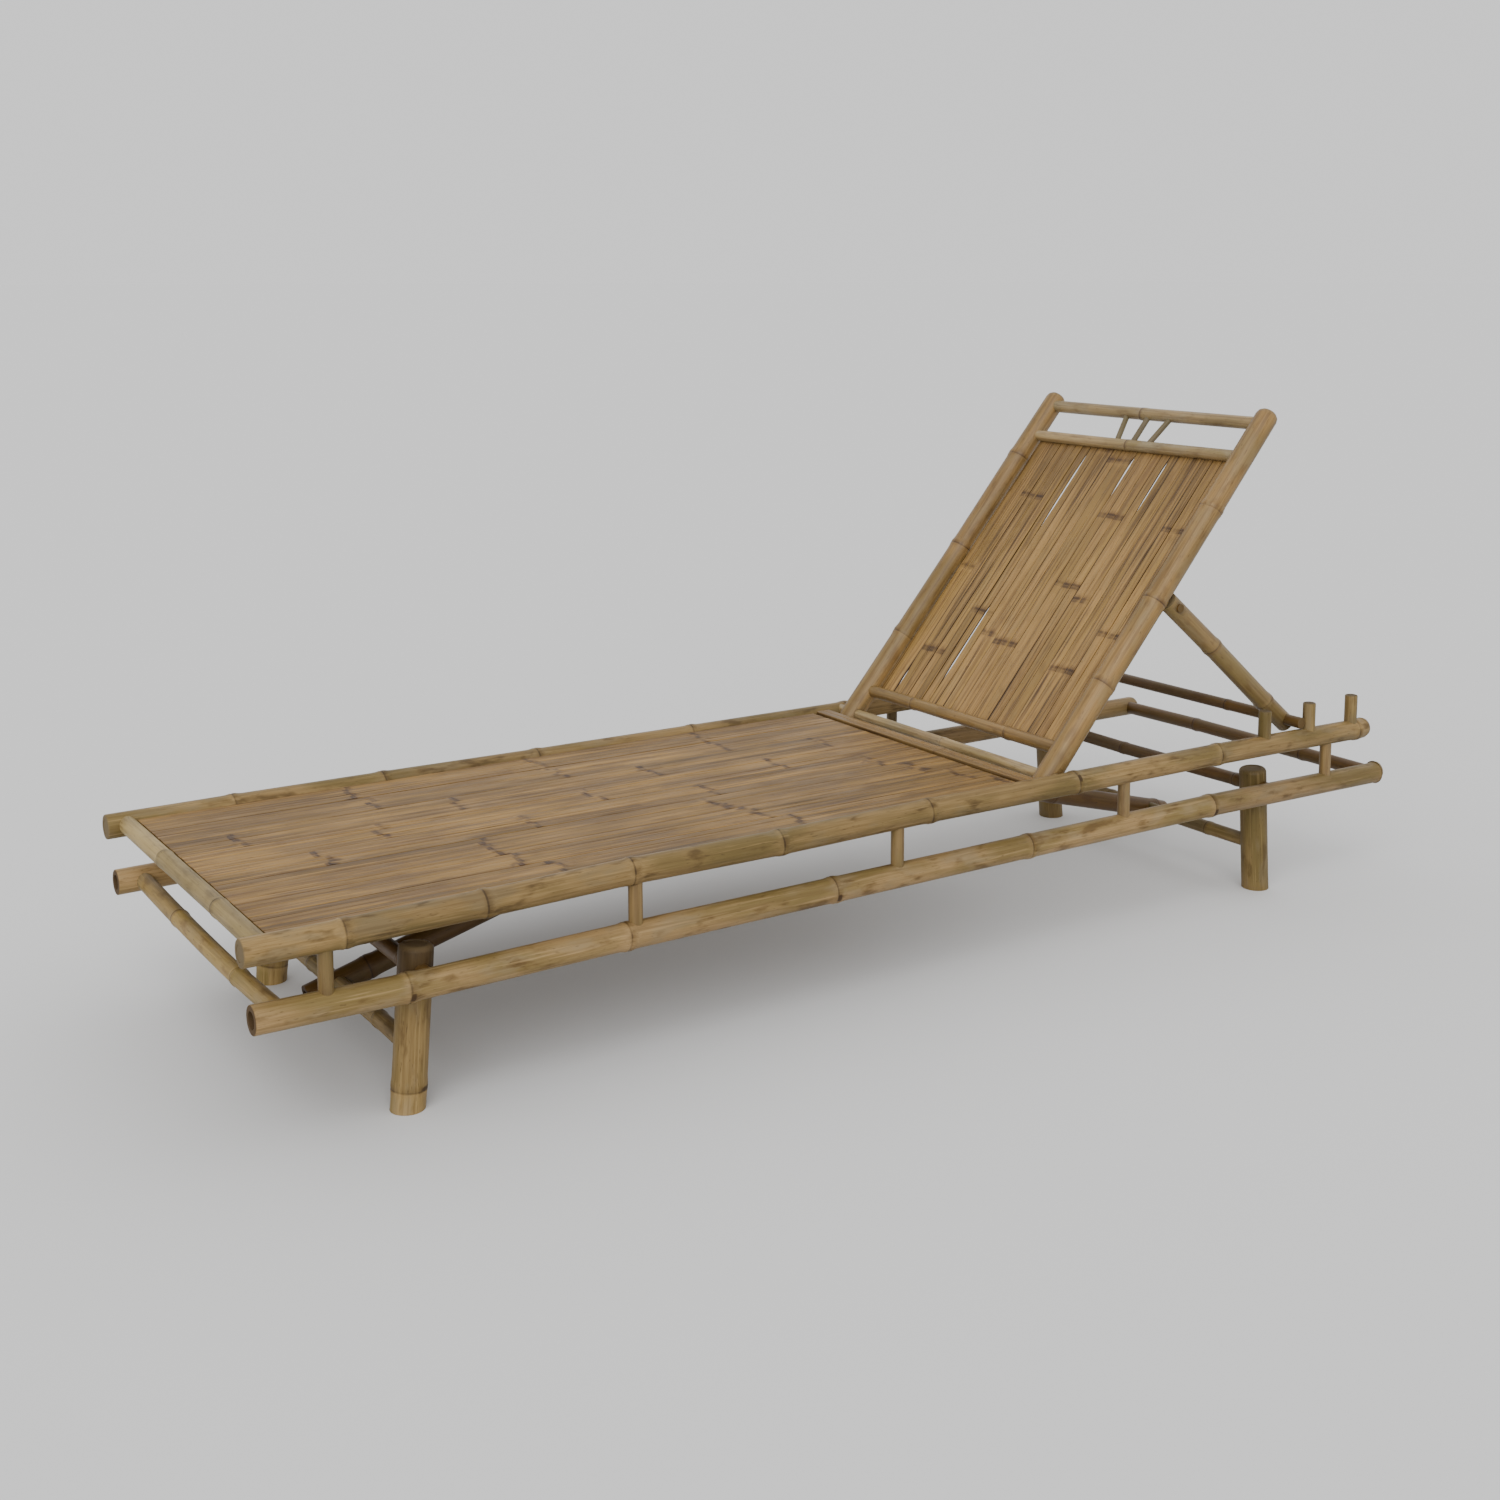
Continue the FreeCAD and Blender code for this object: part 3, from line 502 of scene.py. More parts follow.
    def split(self, number: Field, along: Field) -> tuple[Field, Field]:
        """The split between two strips, or the outer edge of the first or last.

        Args:
            number: Which split, nought at the outer edge of the first strip.
            along: Place along the strips.

        Returns:
            Where the split's middle lies across, and half its width.
        """
        graph, given = self.graph, self.given
        strips, span = given("Strips"), given("Span")
        inner = (number > 0.5) * (number < strips - 0.5)
        jitter = self.swing(given("Edge Scatter"), Draw.SPLIT, number)
        sway = self.wander(number, along, self.SPLIT_LUMPS, self.SPLIT_SALT) - 0.5
        middle = number * span / strips - span / 2 + inner * (jitter + sway * given("Edge Sway"))
        opening = graph.step(self.wander(number, along, self.GAP_LUMPS, self.GAP_SALT),
                             self.GAP_FROM, self.GAP_FULL)
        width = given("Gap") * (opening + self.GAP_LEAST)
        torn = 0.0
        for slit in self.SLITS:
            opened = (graph.step(along - given(slit + " From"), 0.0, self.SLIT_EASE)
                      * graph.step(given(slit + " To") - along, 0.0, self.SLIT_EASE))
            torn = torn + opened * (graph.size(number - given(slit)) < 0.5)
        return middle, inner * (width + torn * given("Slit")) / 2

    def grow(self) -> None:
        """Wire the whole tree, from grid to finished sticks."""
        graph, given = self.graph, self.given
        nodes, length, half = given("Nodes"), given("Length"), given("Half Depth")
        stride = MIDDLE_ROWS + len(RING_ROWS)
        body_rows = nodes * stride + MIDDLE_ROWS
        rows = body_rows + 2 * len(END_ROWS)
        mesh, row, column, strip = self.strips_of_grid(rows)
        ring_width = given("Ring Width")
        angle = column / given("Sides") * -math.tau
        cosine, sine = graph.math("COSINE", angle), graph.math("SINE", angle)

        from_head = rows - 1 - row
        at_foot = row < from_head
        end = graph.least(row, from_head)
        is_end = end < len(END_ROWS) - 0.5
        body = graph.between(row - len(END_ROWS), 0, body_rows - 1)
        block = graph.floor(body / stride + self.NUDGE)
        slot = body - block * stride
        is_ring = slot > MIDDLE_ROWS - 0.5
        ring_slot = graph.most(slot - MIDDLE_ROWS, 0)
        is_first, is_last = block < 0.5, block > nodes - 0.5

        here, before = self.station(block, strip), self.station(block - 1, strip)
        offset = self.pick(ring_slot, [ring.offset for ring in RING_ROWS])
        start = graph.blend(is_first, before + ring_width * RING_REACH, 0.0)
        stop = graph.blend(is_last, here - ring_width * -RING_ROWS[0].offset, length)
        share = (slot + 1) / (MIDDLE_ROWS + 1)
        lean = self.swing(cosine, Draw.LEAN, block, strip)
        lean = (lean + self.swing(sine, Draw.LEAN_ASIDE, block, strip)) * given("Ring Tilt")
        along = graph.blend(is_ring, graph.blend(share, start, stop),
                            here + offset * ring_width + lean)
        uneven = self.chance(Draw.END, strip) * given("End Scatter")
        rounding, mouth, dark = (graph.blend(at_foot, given("Head " + what), given("Foot " + what))
                                 for what in ("Round", "Mouth", "Dark"))
        along = graph.between(along, uneven + given("Foot Round"),
                              length - uneven - given("Head Round"))
        rim = {key: self.pick(end, [getattr(ring, key) for ring in END_ROWS])
               for key in ("bore", "rim", "rounding", "mouth", "depth", "cut")}
        depth = rim["mouth"] * mouth + rim["depth"] * rounding + uneven
        along = graph.blend(is_end, along, graph.blend(at_foot, length - depth, depth))

        worn = rounding / half
        bore = graph.least(self.BORE_SHARE, self.BORE_MARGIN - worn)
        width_share = graph.blend(is_end, 1.0,
                                  rim["bore"] * bore + rim["rim"] - rim["rounding"] * worn)
        height = self.pick(ring_slot, [ring.height for ring in RING_ROWS])
        swell = graph.blend(is_ring, 0.0, height) + given("Ring Proud") - 1.0
        lack = half * given("Taper") * along / length - swell * given("Ring Height")
        turned = angle + self.chance(Draw.BUD_TURN, strip) * math.tau + block * math.pi
        facing = graph.step(graph.math("COSINE", turned), self.BUD_FROM, self.BUD_FULL)
        bud = facing * is_ring * graph.hump(offset, self.BUD_OFFSET, self.BUD_WIDTH)
        bud = bud * (self.chance(Draw.BUD, block, strip) < given("Bud Share"))
        lack = lack - bud * given("Bud Height")

        lumps_at = graph.vector(cosine * self.LUMP_ROUND + strip * self.LUMP_STRIDE + self.drift,
                                sine * self.LUMP_ROUND, along * self.LUMP_ALONG)
        lumps = graph.noise(lumps_at, self.LUMP_SCALE, self.LUMP_DETAIL)
        lack = lack + lumps * given("Roughness")
        power = given("Squareness")
        across, deep = (graph.math("SIGN", wave) * graph.math("POWER", graph.size(wave), power)
                        for wave in (cosine, sine))
        left, left_gap = self.split(strip, along)
        right, right_gap = self.split(strip + 1, along)
        trim = lack * (given("Strips") < 1.5)
        left, right = left + left_gap + trim, right - right_gap - trim
        middle = (left + right) / 2
        across = across * (right - left) / 2 * width_share
        deep = deep * (half - lack) * width_share
        deep = deep + self.swing(across, Draw.CANT, strip) * given("Cant")
        deep = graph.least(deep, half * (1.0 - given("Flat Side") * 2.0))

        bend = []
        for draw, name in ((Draw.SIDE_KINK, "Side Kink"), (Draw.KINK, "Kink")):
            kink = given(name)
            here_off = self.swing(1.0 - is_last, draw, block, strip) * kink
            last_off = self.swing(1.0 - is_first, draw, block - 1, strip) * kink
            shift = graph.blend(graph.blend(is_ring, share, 1.0), last_off, here_off)
            bend.append(shift * (1.0 - is_end))
        belly = graph.math("SINE", along / length * math.pi) * given("Bow")
        sink = self.chance(Draw.SINK, strip) * given("Sink")
        fibre_at = graph.vector(
            across + middle + strip * given("Strip Shift") + self.drift / self.DRIFT_REACH,
            deep, along + self.drift / self.DRIFT_ALONG)
        settled = graph.vector(across + middle + bend[0], deep + bend[1] + belly - sink, along)

        near = is_ring * (1.0 - graph.size(offset) / RING_REACH)
        internode = self.chance(Draw.INTERNODE, block + is_ring * (offset > 0), strip)
        growth = graph.vector(near, offset / RING_REACH * is_ring, internode)
        # The floor of a deep open mouth is painted fully dark: painted shade inside the bore.
        hollow = (end < 1.5) * (mouth > half * self.DEEP_MOUTH)
        tone = self.chance(Draw.GROUP_TONE, graph.floor(strip / given("Group"))) * self.GROUP_TONE
        tone = tone + self.chance(Draw.STRIP_TONE, strip) * self.STRIP_TONE
        ends = graph.vector(is_end * rim["cut"], is_end * graph.most(hollow, dark), tone)

        for name, value in (("fibre_at", fibre_at), ("growth", growth),
                            ("bud", graph.vector(bud, 0.0, 0.0)), ("ends", ends)):
            mesh = self.store(mesh, name, value)
        for kind, inputs in (("SetPosition", {"Position": settled}),
                             ("MergeByDistance", {"Distance": WELD}), ("RealizeInstances", {}),
                             ("SetMaterial", {"Material": self.inputs.outputs["Material"]})):
            made = graph.node("GeometryNode" + kind, {"Geometry": mesh} | inputs)
            mesh = made.outputs["Geometry"]
        graph.node("NodeGroupOutput", {0: mesh})

    def mesh(self, name: str, values: dict[str, float],
             material: bpy.types.Material) -> bpy.types.Mesh:
        """Run the tree once and keep its result as a plain mesh.

        Args:
            name: Name of the mesh.
            values: The tree's inputs by name.
            material: The finish of every face.

        Returns:
            The finished mesh, along Z from the origin.
        """
        holder = placed(name + "_seedling", bpy.data.meshes.new(name + "_seedling"))
        modifier = holder.modifiers.new("grow", "NODES")
        modifier.node_group = self.tree
        for key, value in values.items():
            modifier[self.identifiers[key]] = int(value) if key in self.COUNTS else float(value)
        modifier[self.identifiers["Material"]] = material
        mesh = evaluated(holder)
        bpy.data.objects.remove(holder)
        mesh.name = name
        return mesh


@dataclass(frozen=True)
class Pattern:
    """Noise stretched along the fibres, and the values between which its marks come up."""

    across: float
    along: float
    detail: float = 2.0
    salt: float = 0.0
    begins: float = 0.0
    full: float = 1.0


FIBRE, PORES = Pattern(1500, 26, 3), Pattern(900, 300, 2, 0, 0.4, 0.65)
STREAK, WASH = Pattern(210, 5, 3, 3, 0.45, 0.66), Pattern(17, 5, 3, 17, 0.4, 0.62)
BLOTCH, STAIN = Pattern(40, 13, 4, 9, 0.5, 0.66), Pattern(62, 22, 4, 23, 0.53, 0.7)
SCRAPE, SPECK = Pattern(300, 9, 2, 29, 0.56, 0.7), Pattern(520, 75, 2, 31, 0.64, 0.74)
CRACK, CRACKED = Pattern(95, 1.3, 2, 47), Pattern(14, 2, 1, 51, 0.4, 0.55)
RAGGED, PATCHY = Pattern(330, 90, 2, 61), Pattern(55, 18, 2, 71, 0.36, 0.6)
KNOT, OPEN_EDGE = Pattern(42, 26, 2, 83, 0.58, 0.68), Pattern(9, 3, 2, 91, 0.4, 0.56)


@dataclass(frozen=True)
class BambooFinish:
    """A procedural bamboo skin: fibres, streaks, node scars, cut ends, weathering and painted
    shade in grooves and bores.
    """

    name: str
    slot: str
    skin: Colour
    pale: Colour
    streak: Colour
    scar: Colour
    cut: Colour
    olive: Colour
    grey: Colour
    olive_share: float = 0.65
    streak_share: float = 0.45
    scar_share: float = 0.95
    grey_share: float = 0.5
    tone_spread: float = 0.3
    crack_share: float = 0.0
    knot_share: float = 0.0
    stain_share: float = 0.45
    halo_share: float = 0.7
    scar_from: float = 0.88
    # Darkening at the side edges of each strip: painted shade in the grooves between strips, with
    # dirt.
    edge_share: float = 0.0
    edge_depth: float = 3.0 * MM
    # Darkening above a height: on the legs, painted shade under the rails and deck.
    aged_share: float = 0.0
    aged_from: float = 0.0
    aged_over: float = 0.16
    roughness: float = 0.5
    groove: float = 0.25 * MM
    gloss: float = 0.3
    grain: Grain = Grain.GROWN

    FIBRE_CONTRAST, FIBRE_PALE = 1.6, 0.35
    FIBRE_RELIEF, STREAK_RELIEF, CRACK_RELIEF = 0.35, -0.2, 1.6
    SCRAPE_SHARE, SPECK_SHARE, CRACK_WIDTH, RAGGED_REACH = 0.4, 0.5, 0.02, 0.06
    BELOW, ABOVE, BELOW_HALO = (0.02, -0.12), (-0.05, 0.1), 0.6
    BLOOM, BLOOM_SHARE, HALO = (0.3, 0.9), 0.25, (0.3, 1.0)
    LINE_WIDTH, LINE_STRIDE, LINE_LEAST, LINE_UNBROKEN = 0.09, 7.3, 0.45, 0.35
    KNOT_NEAR, BUD, BUD_RAGGED, BUD_SHARE = (0.1, 0.6), (0.3, 0.75), 0.3, 0.85
    DIRT_FROM, DIRT_FULL, DIRT_LEAST = 0.85, 0.45, 0.25
    HOLLOW_SHARE = 0.92
    ROUGHNESS_SWING, CUT_ROUGHNESS, ROUGHNESS_LIMITS = 0.3, 0.3, (0.25, 0.95)

    def material(self) -> bpy.types.Material:
        """Build the finish as a material.

        Returns:
            The material.
        """
        material = bpy.data.materials.new(self.name)
        material.use_nodes = True
        graph = Graph(material.node_tree)
        object_x, object_y, up = graph.parts(graph.node("ShaderNodeTexCoord").outputs["Object"])
        across, deep, along = ((object_y, up, object_x) if self.grain is Grain.ACROSS_X
                               else graph.attribute("fibre_at"))
        near, side, internode = graph.attribute("growth")
        cut, hollow, tone = graph.attribute("ends")

        def grain(pattern: Pattern) -> Field:
            """The noise of a pattern.

            Args:
                pattern: How it is stretched.

            Returns:
                The noise as a field.
            """
            salt = pattern.salt
            at = graph.vector(across * pattern.across + salt, deep * pattern.across + salt,
                              along * pattern.along + salt)
            return graph.noise(at, 1.0, pattern.detail)

        def marks(pattern: Pattern) -> Field:
            """Where the marks of a pattern are, from nought to one."""
            return graph.step(grain(pattern), pattern.begins, pattern.full)

        fibre, streak, blotch = grain(FIBRE), marks(STREAK), grain(BLOTCH)
        height = fibre * self.FIBRE_RELIEF + streak * self.STREAK_RELIEF
        coats = [(marks(WASH) * self.olive_share, self.olive),
                 (graph.step(blotch, BLOTCH.begins, BLOTCH.full) * self.grey_share, self.grey),
                 (streak * self.streak_share, self.streak),
                 (marks(STAIN) * self.stain_share, self.streak),
                 (marks(SCRAPE) * self.SCRAPE_SHARE, self.pale),
                 (marks(SPECK) * self.SPECK_SHARE, self.scar)]
        # Darkens everything above a height towards the scar colour: on the legs it is painted
        # shade under the rails and deck, on the slats simply darker towards the top.
        if self.aged_share > 0:
            darker_above = graph.step(up + (blotch - 0.5) * self.aged_over, self.aged_from,
                              self.aged_from + self.aged_over)
            coats.append((darker_above * self.aged_share, self.scar))
        if self.crack_share > 0:
            crack = graph.hump(grain(CRACK), 0.5, self.CRACK_WIDTH) * marks(CRACKED)
            coats.append((crack * self.crack_share, self.scar))
            height = height - crack * self.CRACK_RELIEF

        ragged = near + (grain(RAGGED) - 0.5) * self.RAGGED_REACH
        patchy = marks(PATCHY)
        below, above = graph.step(side, *self.BELOW), graph.step(side, *self.ABOVE)
        bloom = graph.step(near, *self.BLOOM) * below * self.BLOOM_SHARE
        halo = graph.step(ragged, *self.HALO) * (above + below * self.BELOW_HALO) * patchy
        worn = graph.math("FRACT", internode * self.LINE_STRIDE) * (1 - self.LINE_LEAST)
        line = graph.step(ragged, self.scar_from, self.scar_from + self.LINE_WIDTH)
        line = line * (patchy * (1 - self.LINE_UNBROKEN) + self.LINE_UNBROKEN)
        line = line * (worn + self.LINE_LEAST) * self.scar_share
        coats += [(bloom, self.pale), (halo * self.halo_share, self.streak), (line, self.scar)]
        if self.knot_share > 0:
            knot = marks(KNOT) * graph.step(near, *self.KNOT_NEAR)
            coats.append((knot * self.knot_share, self.scar))
        bud = graph.attribute("bud")[0] + (fibre - 0.5) * self.BUD_RAGGED
        coats.append((graph.step(bud, *self.BUD) * self.BUD_SHARE, self.scar))
        # Darkens each strip near its side edges, where it meets the next: painted shade in the
        # grooves between strips, with dirt, in uneven patches.
        if self.edge_share > 0:
            groove_dirt_and_shade = graph.step(graph.size(deep), self.edge_depth * self.DIRT_FROM,
                              self.edge_depth * self.DIRT_FULL)
            groove_dirt_and_shade = groove_dirt_and_shade * (marks(OPEN_EDGE) * (1 - self.DIRT_LEAST) + self.DIRT_LEAST)
            coats.append((groove_dirt_and_shade * self.edge_share, self.scar))

        colour = graph.tint((fibre - 0.5) * self.FIBRE_CONTRAST + self.FIBRE_PALE, self.skin,
                            self.pale)
        for share, over in coats:
            colour = graph.tint(share, colour, over)
        value = 1.0 + (internode - 0.5) * self.tone_spread + (tone - 0.5) * self.tone_spread
        shade = graph.node("ShaderNodeHueSaturation", {"Value": value, "Color": colour})
        end_colour = graph.tint(marks(PORES), self.cut, self.grey)
        # Ends darken towards the scar colour by their dark value: on open ends this is painted
        # shade inside the bore.
        end_colour = graph.tint(hollow * self.HOLLOW_SHARE, end_colour, self.scar)
        bump = graph.node("ShaderNodeBump", {"Distance": self.groove, "Strength": 1.0,
                                             "Height": height})
        roughness = self.roughness + (blotch - 0.5) * self.ROUGHNESS_SWING
        roughness = graph.between(roughness + cut * self.CUT_ROUGHNESS, *self.ROUGHNESS_LIMITS)
        shader = material.node_tree.nodes["Principled BSDF"]
        for name, given in (("Base Color", graph.tint(cut, shade.outputs[0], end_colour)),
                            ("Normal", bump.outputs[0]), ("Specular IOR Level", self.gloss),
                            ("Roughness", roughness)):
            graph.feed(shader.inputs[name], given)
        return material


@dataclass(frozen=True)
class Line:
    """The axis of one round solid, from its lower end to its upper end."""

    start: Vector
    end: Vector
    radius: float

    END_REACH, FIT_ROUNDS, SURFACE_FROM = 4 * MM, 3, 0.85

    @classmethod
    def through(cls, points: np.ndarray) -> "Line":
        """Fit the axis to the vertices of a long round solid.

        Args:
            points: Vertices, one row each, in metres.

        Returns:
            The axis, with its ends where the solid ends.
        """
        centre = points.mean(axis=0)
        direction = np.linalg.svd(points - centre, full_matrices=False)[2][0]
        for _ in range(cls.FIT_ROUNDS):
            along = (points - centre) @ direction
            ends = (points[along < along.min() + cls.END_REACH],
                    points[along > along.max() - cls.END_REACH])
            foot, head = ((group.min(axis=0) + group.max(axis=0)) / 2 for group in ends)
            direction = (head - foot) / np.linalg.norm(head - foot)
            centre = (foot + head) / 2
        if direction.sum() < 0:
            direction = -direction
        offsets = points - centre
        along = offsets @ direction
        radii = np.linalg.norm(offsets - np.outer(along, direction), axis=1)
        radius = np.median(radii[radii > radii.max() * cls.SURFACE_FROM])
        start, end = centre + direction * along.min(), centre + direction * along.max()
        return cls(Vector(start), Vector(end), float(radius))

    @classmethod
    def of(cls, node: str) -> "Line":
        """The axis of a node that is one round solid."""
        return cls.through(solid_points(node))

    @classmethod
    def each(cls, node: str, axis: int, gap: float) -> list["Line"]:
        """The axes of a node's solids, which lie apart along an axis.

        Args:
            node: The CAD node.
            axis: The axis they lie apart along.
            gap: The least distance between two of them.

        Returns:
            One line for each solid.
        """
        points = solid_points(node)
        points = points[np.argsort(points[:, axis])]
        splits = np.nonzero(np.diff(points[:, axis]) > gap)[0] + 1
        return [cls.through(group) for group in np.split(points, splits)]

    def moved(self, shift: Vector) -> "Line":
        """The same line a little further on."""
        return Line(self.start + shift, self.end + shift, self.radius)

    def lengthened(self, before: float, after: float) -> "Line":
        """The same line with more of it before its start and after its end."""
        return Line(self.start - self.direction * before, self.end + self.direction * after,
                    self.radius)

    @property
    def length(self) -> float:
        """Distance from end to end."""
        return (self.end - self.start).length

    @property
    def direction(self) -> Vector:
        """Unit vector from start to end."""
        return (self.end - self.start).normalized()


def solid_points(node: str) -> np.ndarray:
    """The vertices of a CAD node, one row each.

    Args:
        node: The CAD node.

    Returns:
        The places, in metres.
    """
    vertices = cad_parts[node].data.vertices
    points = np.empty(len(vertices) * 3)
    vertices.foreach_get("co", points)
    return points.reshape(-1, 3)


def standing(direction: Vector, across: Vector, at: Vector) -> Matrix:
    """The placement that takes Z to a direction and X as near as it can to another.

    Args:
        direction: Where the stick runs.
        across: Where its width points.
        at: Where its start goes.

    Returns:
        A matrix for the mesh.
    """
    z = direction.normalized()
    y = z.cross(across).normalized()
    x = y.cross(z)
    turned = Matrix((x, y, z)).transposed().to_4x4()
    return Matrix.Translation(at) @ turned


def as_inputs(values: dict[str, float]) -> dict[str, float]:
    """Values under the tree's names, with spaces and capitals for underscores."""
    return {key.replace("_", " ").title(): value for key, value in values.items()}


@dataclass(frozen=True)
class Habit:
    """How a kind of culm or strip grew, in metres."""

    first: float = 0.12
    internode: float = 0.3
    growth: float = 0.0
    strip_scatter: float = 0.0
    ring_height: float = 1.2 * MM
    ring_width: float = 2.4 * MM
    ring_proud: float = 0.8
    ring_tilt: float = 3.0 * MM
    kink: float = 2.0 * MM
    side_kink: float = 1.0 * MM
    bow: float = 0.0
    taper: float = 0.0
    roughness: float = 0.35 * MM
    bud_share: float = 0.0
    bud_height: float = 0.8 * MM

    def nodes_within(self, length: float) -> int:
        """How many nodes fit on a length.

        Args:
            length: The length, in metres.

        Returns:
            The number of nodes.
        """
        count = 0
        while self.first + count * (self.internode + self.growth * (count - 1) / 2) < length:
            count += 1
        return count

    def values(self, length: float) -> dict[str, float]:
        """The tree's inputs for a stick of a length.

        Args:
            length: The length, in metres.

        Returns:
            The inputs by name.
        """
        given = as_inputs(asdict(self))
        return given | {"First Node": given.pop("First"), "Length": length,
                        "Internode Growth": given.pop("Growth"),
                        "Nodes": self.nodes_within(length)}


PLAIN = Habit(first=9.0, kink=0.0, side_kink=0.0)
SHARP_FROM = math.radians(42)


@dataclass
class Workshop:
    """Grows sticks, keeps the finishes and hands finished pieces to the frame."""

    tree: StickTree = field(default_factory=StickTree)
    materials: dict[str, bpy.types.Material] = field(default_factory=dict)
    seed: int = 11
    clearance: float = 0.4 * MM

    ALONGSIDE = 0.9
    DRILL_SIDES, DRILL_REACH = 32, 1.2
    # Drilled walls take the cut-end colour, darkened by 0.4 as painted shade inside the hole.
    DRILLED = {"fibre_at": (0.0, 0.0, 0.0), "growth": (0.0, 0.0, 0.5), "bud": (0.0, 0.0, 0.0),
               "ends": (1.0, 0.4, 0.5)}

    def dressed(self, finish: BambooFinish) -> bpy.types.Material:
        """The material of a finish, made once.

        Args:
            finish: The finish.

        Returns:
            Its material.
        """
        if finish.name not in self.materials:
            self.materials[finish.name] = finish.material()
        return self.materials[finish.name]

    def stick(self, name: str, line: Line, habit: Habit, finish: BambooFinish, across: Vector = X,
              **extra: float) -> bpy.types.Mesh:
        """One stick, or several side by side, in its place in the lounger.

        Args:
            name: Name of the mesh.
            line: Axis and radius.
            habit: How it grew.
            finish: Its finish.
            across: Where its width points.
            extra: More of the tree's inputs, with underscores for spaces.

        Returns:
            The placed mesh.
        """
        self.seed += 1
        values = {"Span": 2 * line.radius, "Half Depth": line.radius, "Seed": self.seed}
        values |= habit.values(line.length) | as_inputs(extra)
        mesh = self.tree.mesh(name, values, self.dressed(finish))
        if abs(line.direction.dot(across)) > self.ALONGSIDE:
            across = Y
        mesh.transform(standing(line.direction, across, line.start))
        return mesh

    def culm(self, name: str, line: Line, habit: Habit, finish: BambooFinish,
             foot: End = SAWN, head: End = SAWN, **extra: float) -> bpy.types.Mesh:
        """A round culm with its two ends worked as they should be.

        Args:
            name: Name of the mesh.
            line: Axis and radius.
            habit: How it grew.
            finish: Its finish.
            foot: How its lower end is worked.
            head: How its upper end is worked.
            extra: More of the tree's inputs, with underscores for spaces.

        Returns:
            The placed mesh.
        """
        for key, end in (("foot", foot), ("head", head)):
            extra |= {key + "_mouth": end.mouth.value * line.radius,
                      key + "_round": end.rounding * line.radius, key + "_dark": end.dark}
        return self.stick(name, line, habit, finish, **extra)

    def piece(self, name: str, meshes: Sequence[bpy.types.Mesh]) -> bpy.types.Object:
        """Join placed meshes to one object at the origin.

        Args:
            name: Name of the object.
            meshes: What it is joined from.

        Returns:
            The object.
        """
        mesh = meshes[0]
        if len(meshes) > 1:
            joined = bmesh.new()
            for part in meshes:
                joined.from_mesh(part)
            joined.to_mesh(mesh)
            joined.free()
        mesh.name = name
        mesh.shade_smooth()
        mesh.set_sharp_from_angle(angle=SHARP_FROM)
        return placed(name, mesh)

    def bore(self, piece: bpy.types.Object, pin: Line) -> None:
        """Drill a hole through a piece for a pin that turns in it.

        Args:
            piece: The piece to drill.
            pin: The pin's axis and radius.
        """
        shape, radius = bmesh.new(), pin.radius + self.clearance
        bmesh.ops.create_cone(shape, cap_ends=True, segments=self.DRILL_SIDES, radius1=radius,
                              radius2=radius, depth=pin.length * self.DRILL_REACH)
        middle = (pin.start + pin.end) / 2
        bmesh.ops.transform(shape, matrix=standing(pin.direction, Y, middle), verts=shape.verts)
        mesh = bpy.data.meshes.new("drill")
        shape.to_mesh(mesh)
        shape.free()
        for name, value in self.DRILLED.items():
            kept = mesh.attributes.new(name, "FLOAT_VECTOR", "POINT")
            kept.data.foreach_set("vector", list(value) * len(mesh.vertices))
        drill = placed("drill", mesh)
        cutter = piece.modifiers.new("bore", "BOOLEAN")
        cutter.operation, cutter.solver, cutter.object = "DIFFERENCE", "EXACT", drill
        cut_mesh = evaluated(piece)
        piece.modifiers.remove(cutter)
        piece.data = cut_mesh
        bpy.data.objects.remove(drill)

    def hand_over(self, piece: bpy.types.Object, body: Body, finish: BambooFinish,
                  *nodes: str) -> None:
        """Put a finished piece on its body in place of its CAD nodes.

        Args:
            piece: The finished piece.
            body: The body it rides on.
            finish: Not used.
            nodes: The CAD nodes it replaces.
        """
        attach(piece, body.value)
        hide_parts(*nodes)
        LOG.info("%s: %d faces for %s", piece.name, len(piece.data.polygons), ", ".join(nodes))

    def deliver(self, node: str, kind: str, body: Body, finish: BambooFinish,
                *meshes: bpy.types.Mesh) -> None:
        """Make one piece of a node's meshes and hand it over.

        Args:
            node: The CAD node.
            kind: What the piece's name says after the node's.
            body: The body it rides on.
            finish: Its finish.
            meshes: What it is joined from.
        """
        self.hand_over(self.piece(node + kind, meshes), body, finish, node)

    def pole(self, node: str, body: Body, habit: Habit, finish: BambooFinish, foot: End = SAWN,
             head: End = SAWN, kind: str = "_culm", line: Line | None = None,
             pin: Line | None = None, **extra: float) -> None:
        """Make and hand over the piece of a node that is one culm.

        Args:
            node: The CAD node.
            body: The body it rides on.
            habit: How it grew.
            finish: Its finish.
            foot: How its lower end is worked.
            head: How its upper end is worked.
            kind: What its name says after the node's.
            line: Its axis, where that isn't the node's own.
            pin: A pin that turns in it.
            extra: More of the tree's inputs, with underscores for spaces.
        """
        line = line or Line.of(node)
        culm = self.culm(node + kind, line, habit, finish, foot, head, **extra)
        piece = self.piece(node + kind, [culm])
        if pin:
            self.bore(piece, pin)
        self.hand_over(piece, body, finish, node)

    def coat(self, node: str, finish: BambooFinish) -> None:
        """Give a CAD node that stays as it is its finish.

        Args:
            node: The CAD node.
            finish: Its finish.
        """
        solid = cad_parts[node]
        material = self.dressed(finish)
        if not solid.material_slots:
            solid.data.materials.append(material)
        for slot in solid.material_slots:
            slot.material = material
        LOG.info("%s: kept from the CAD", node)


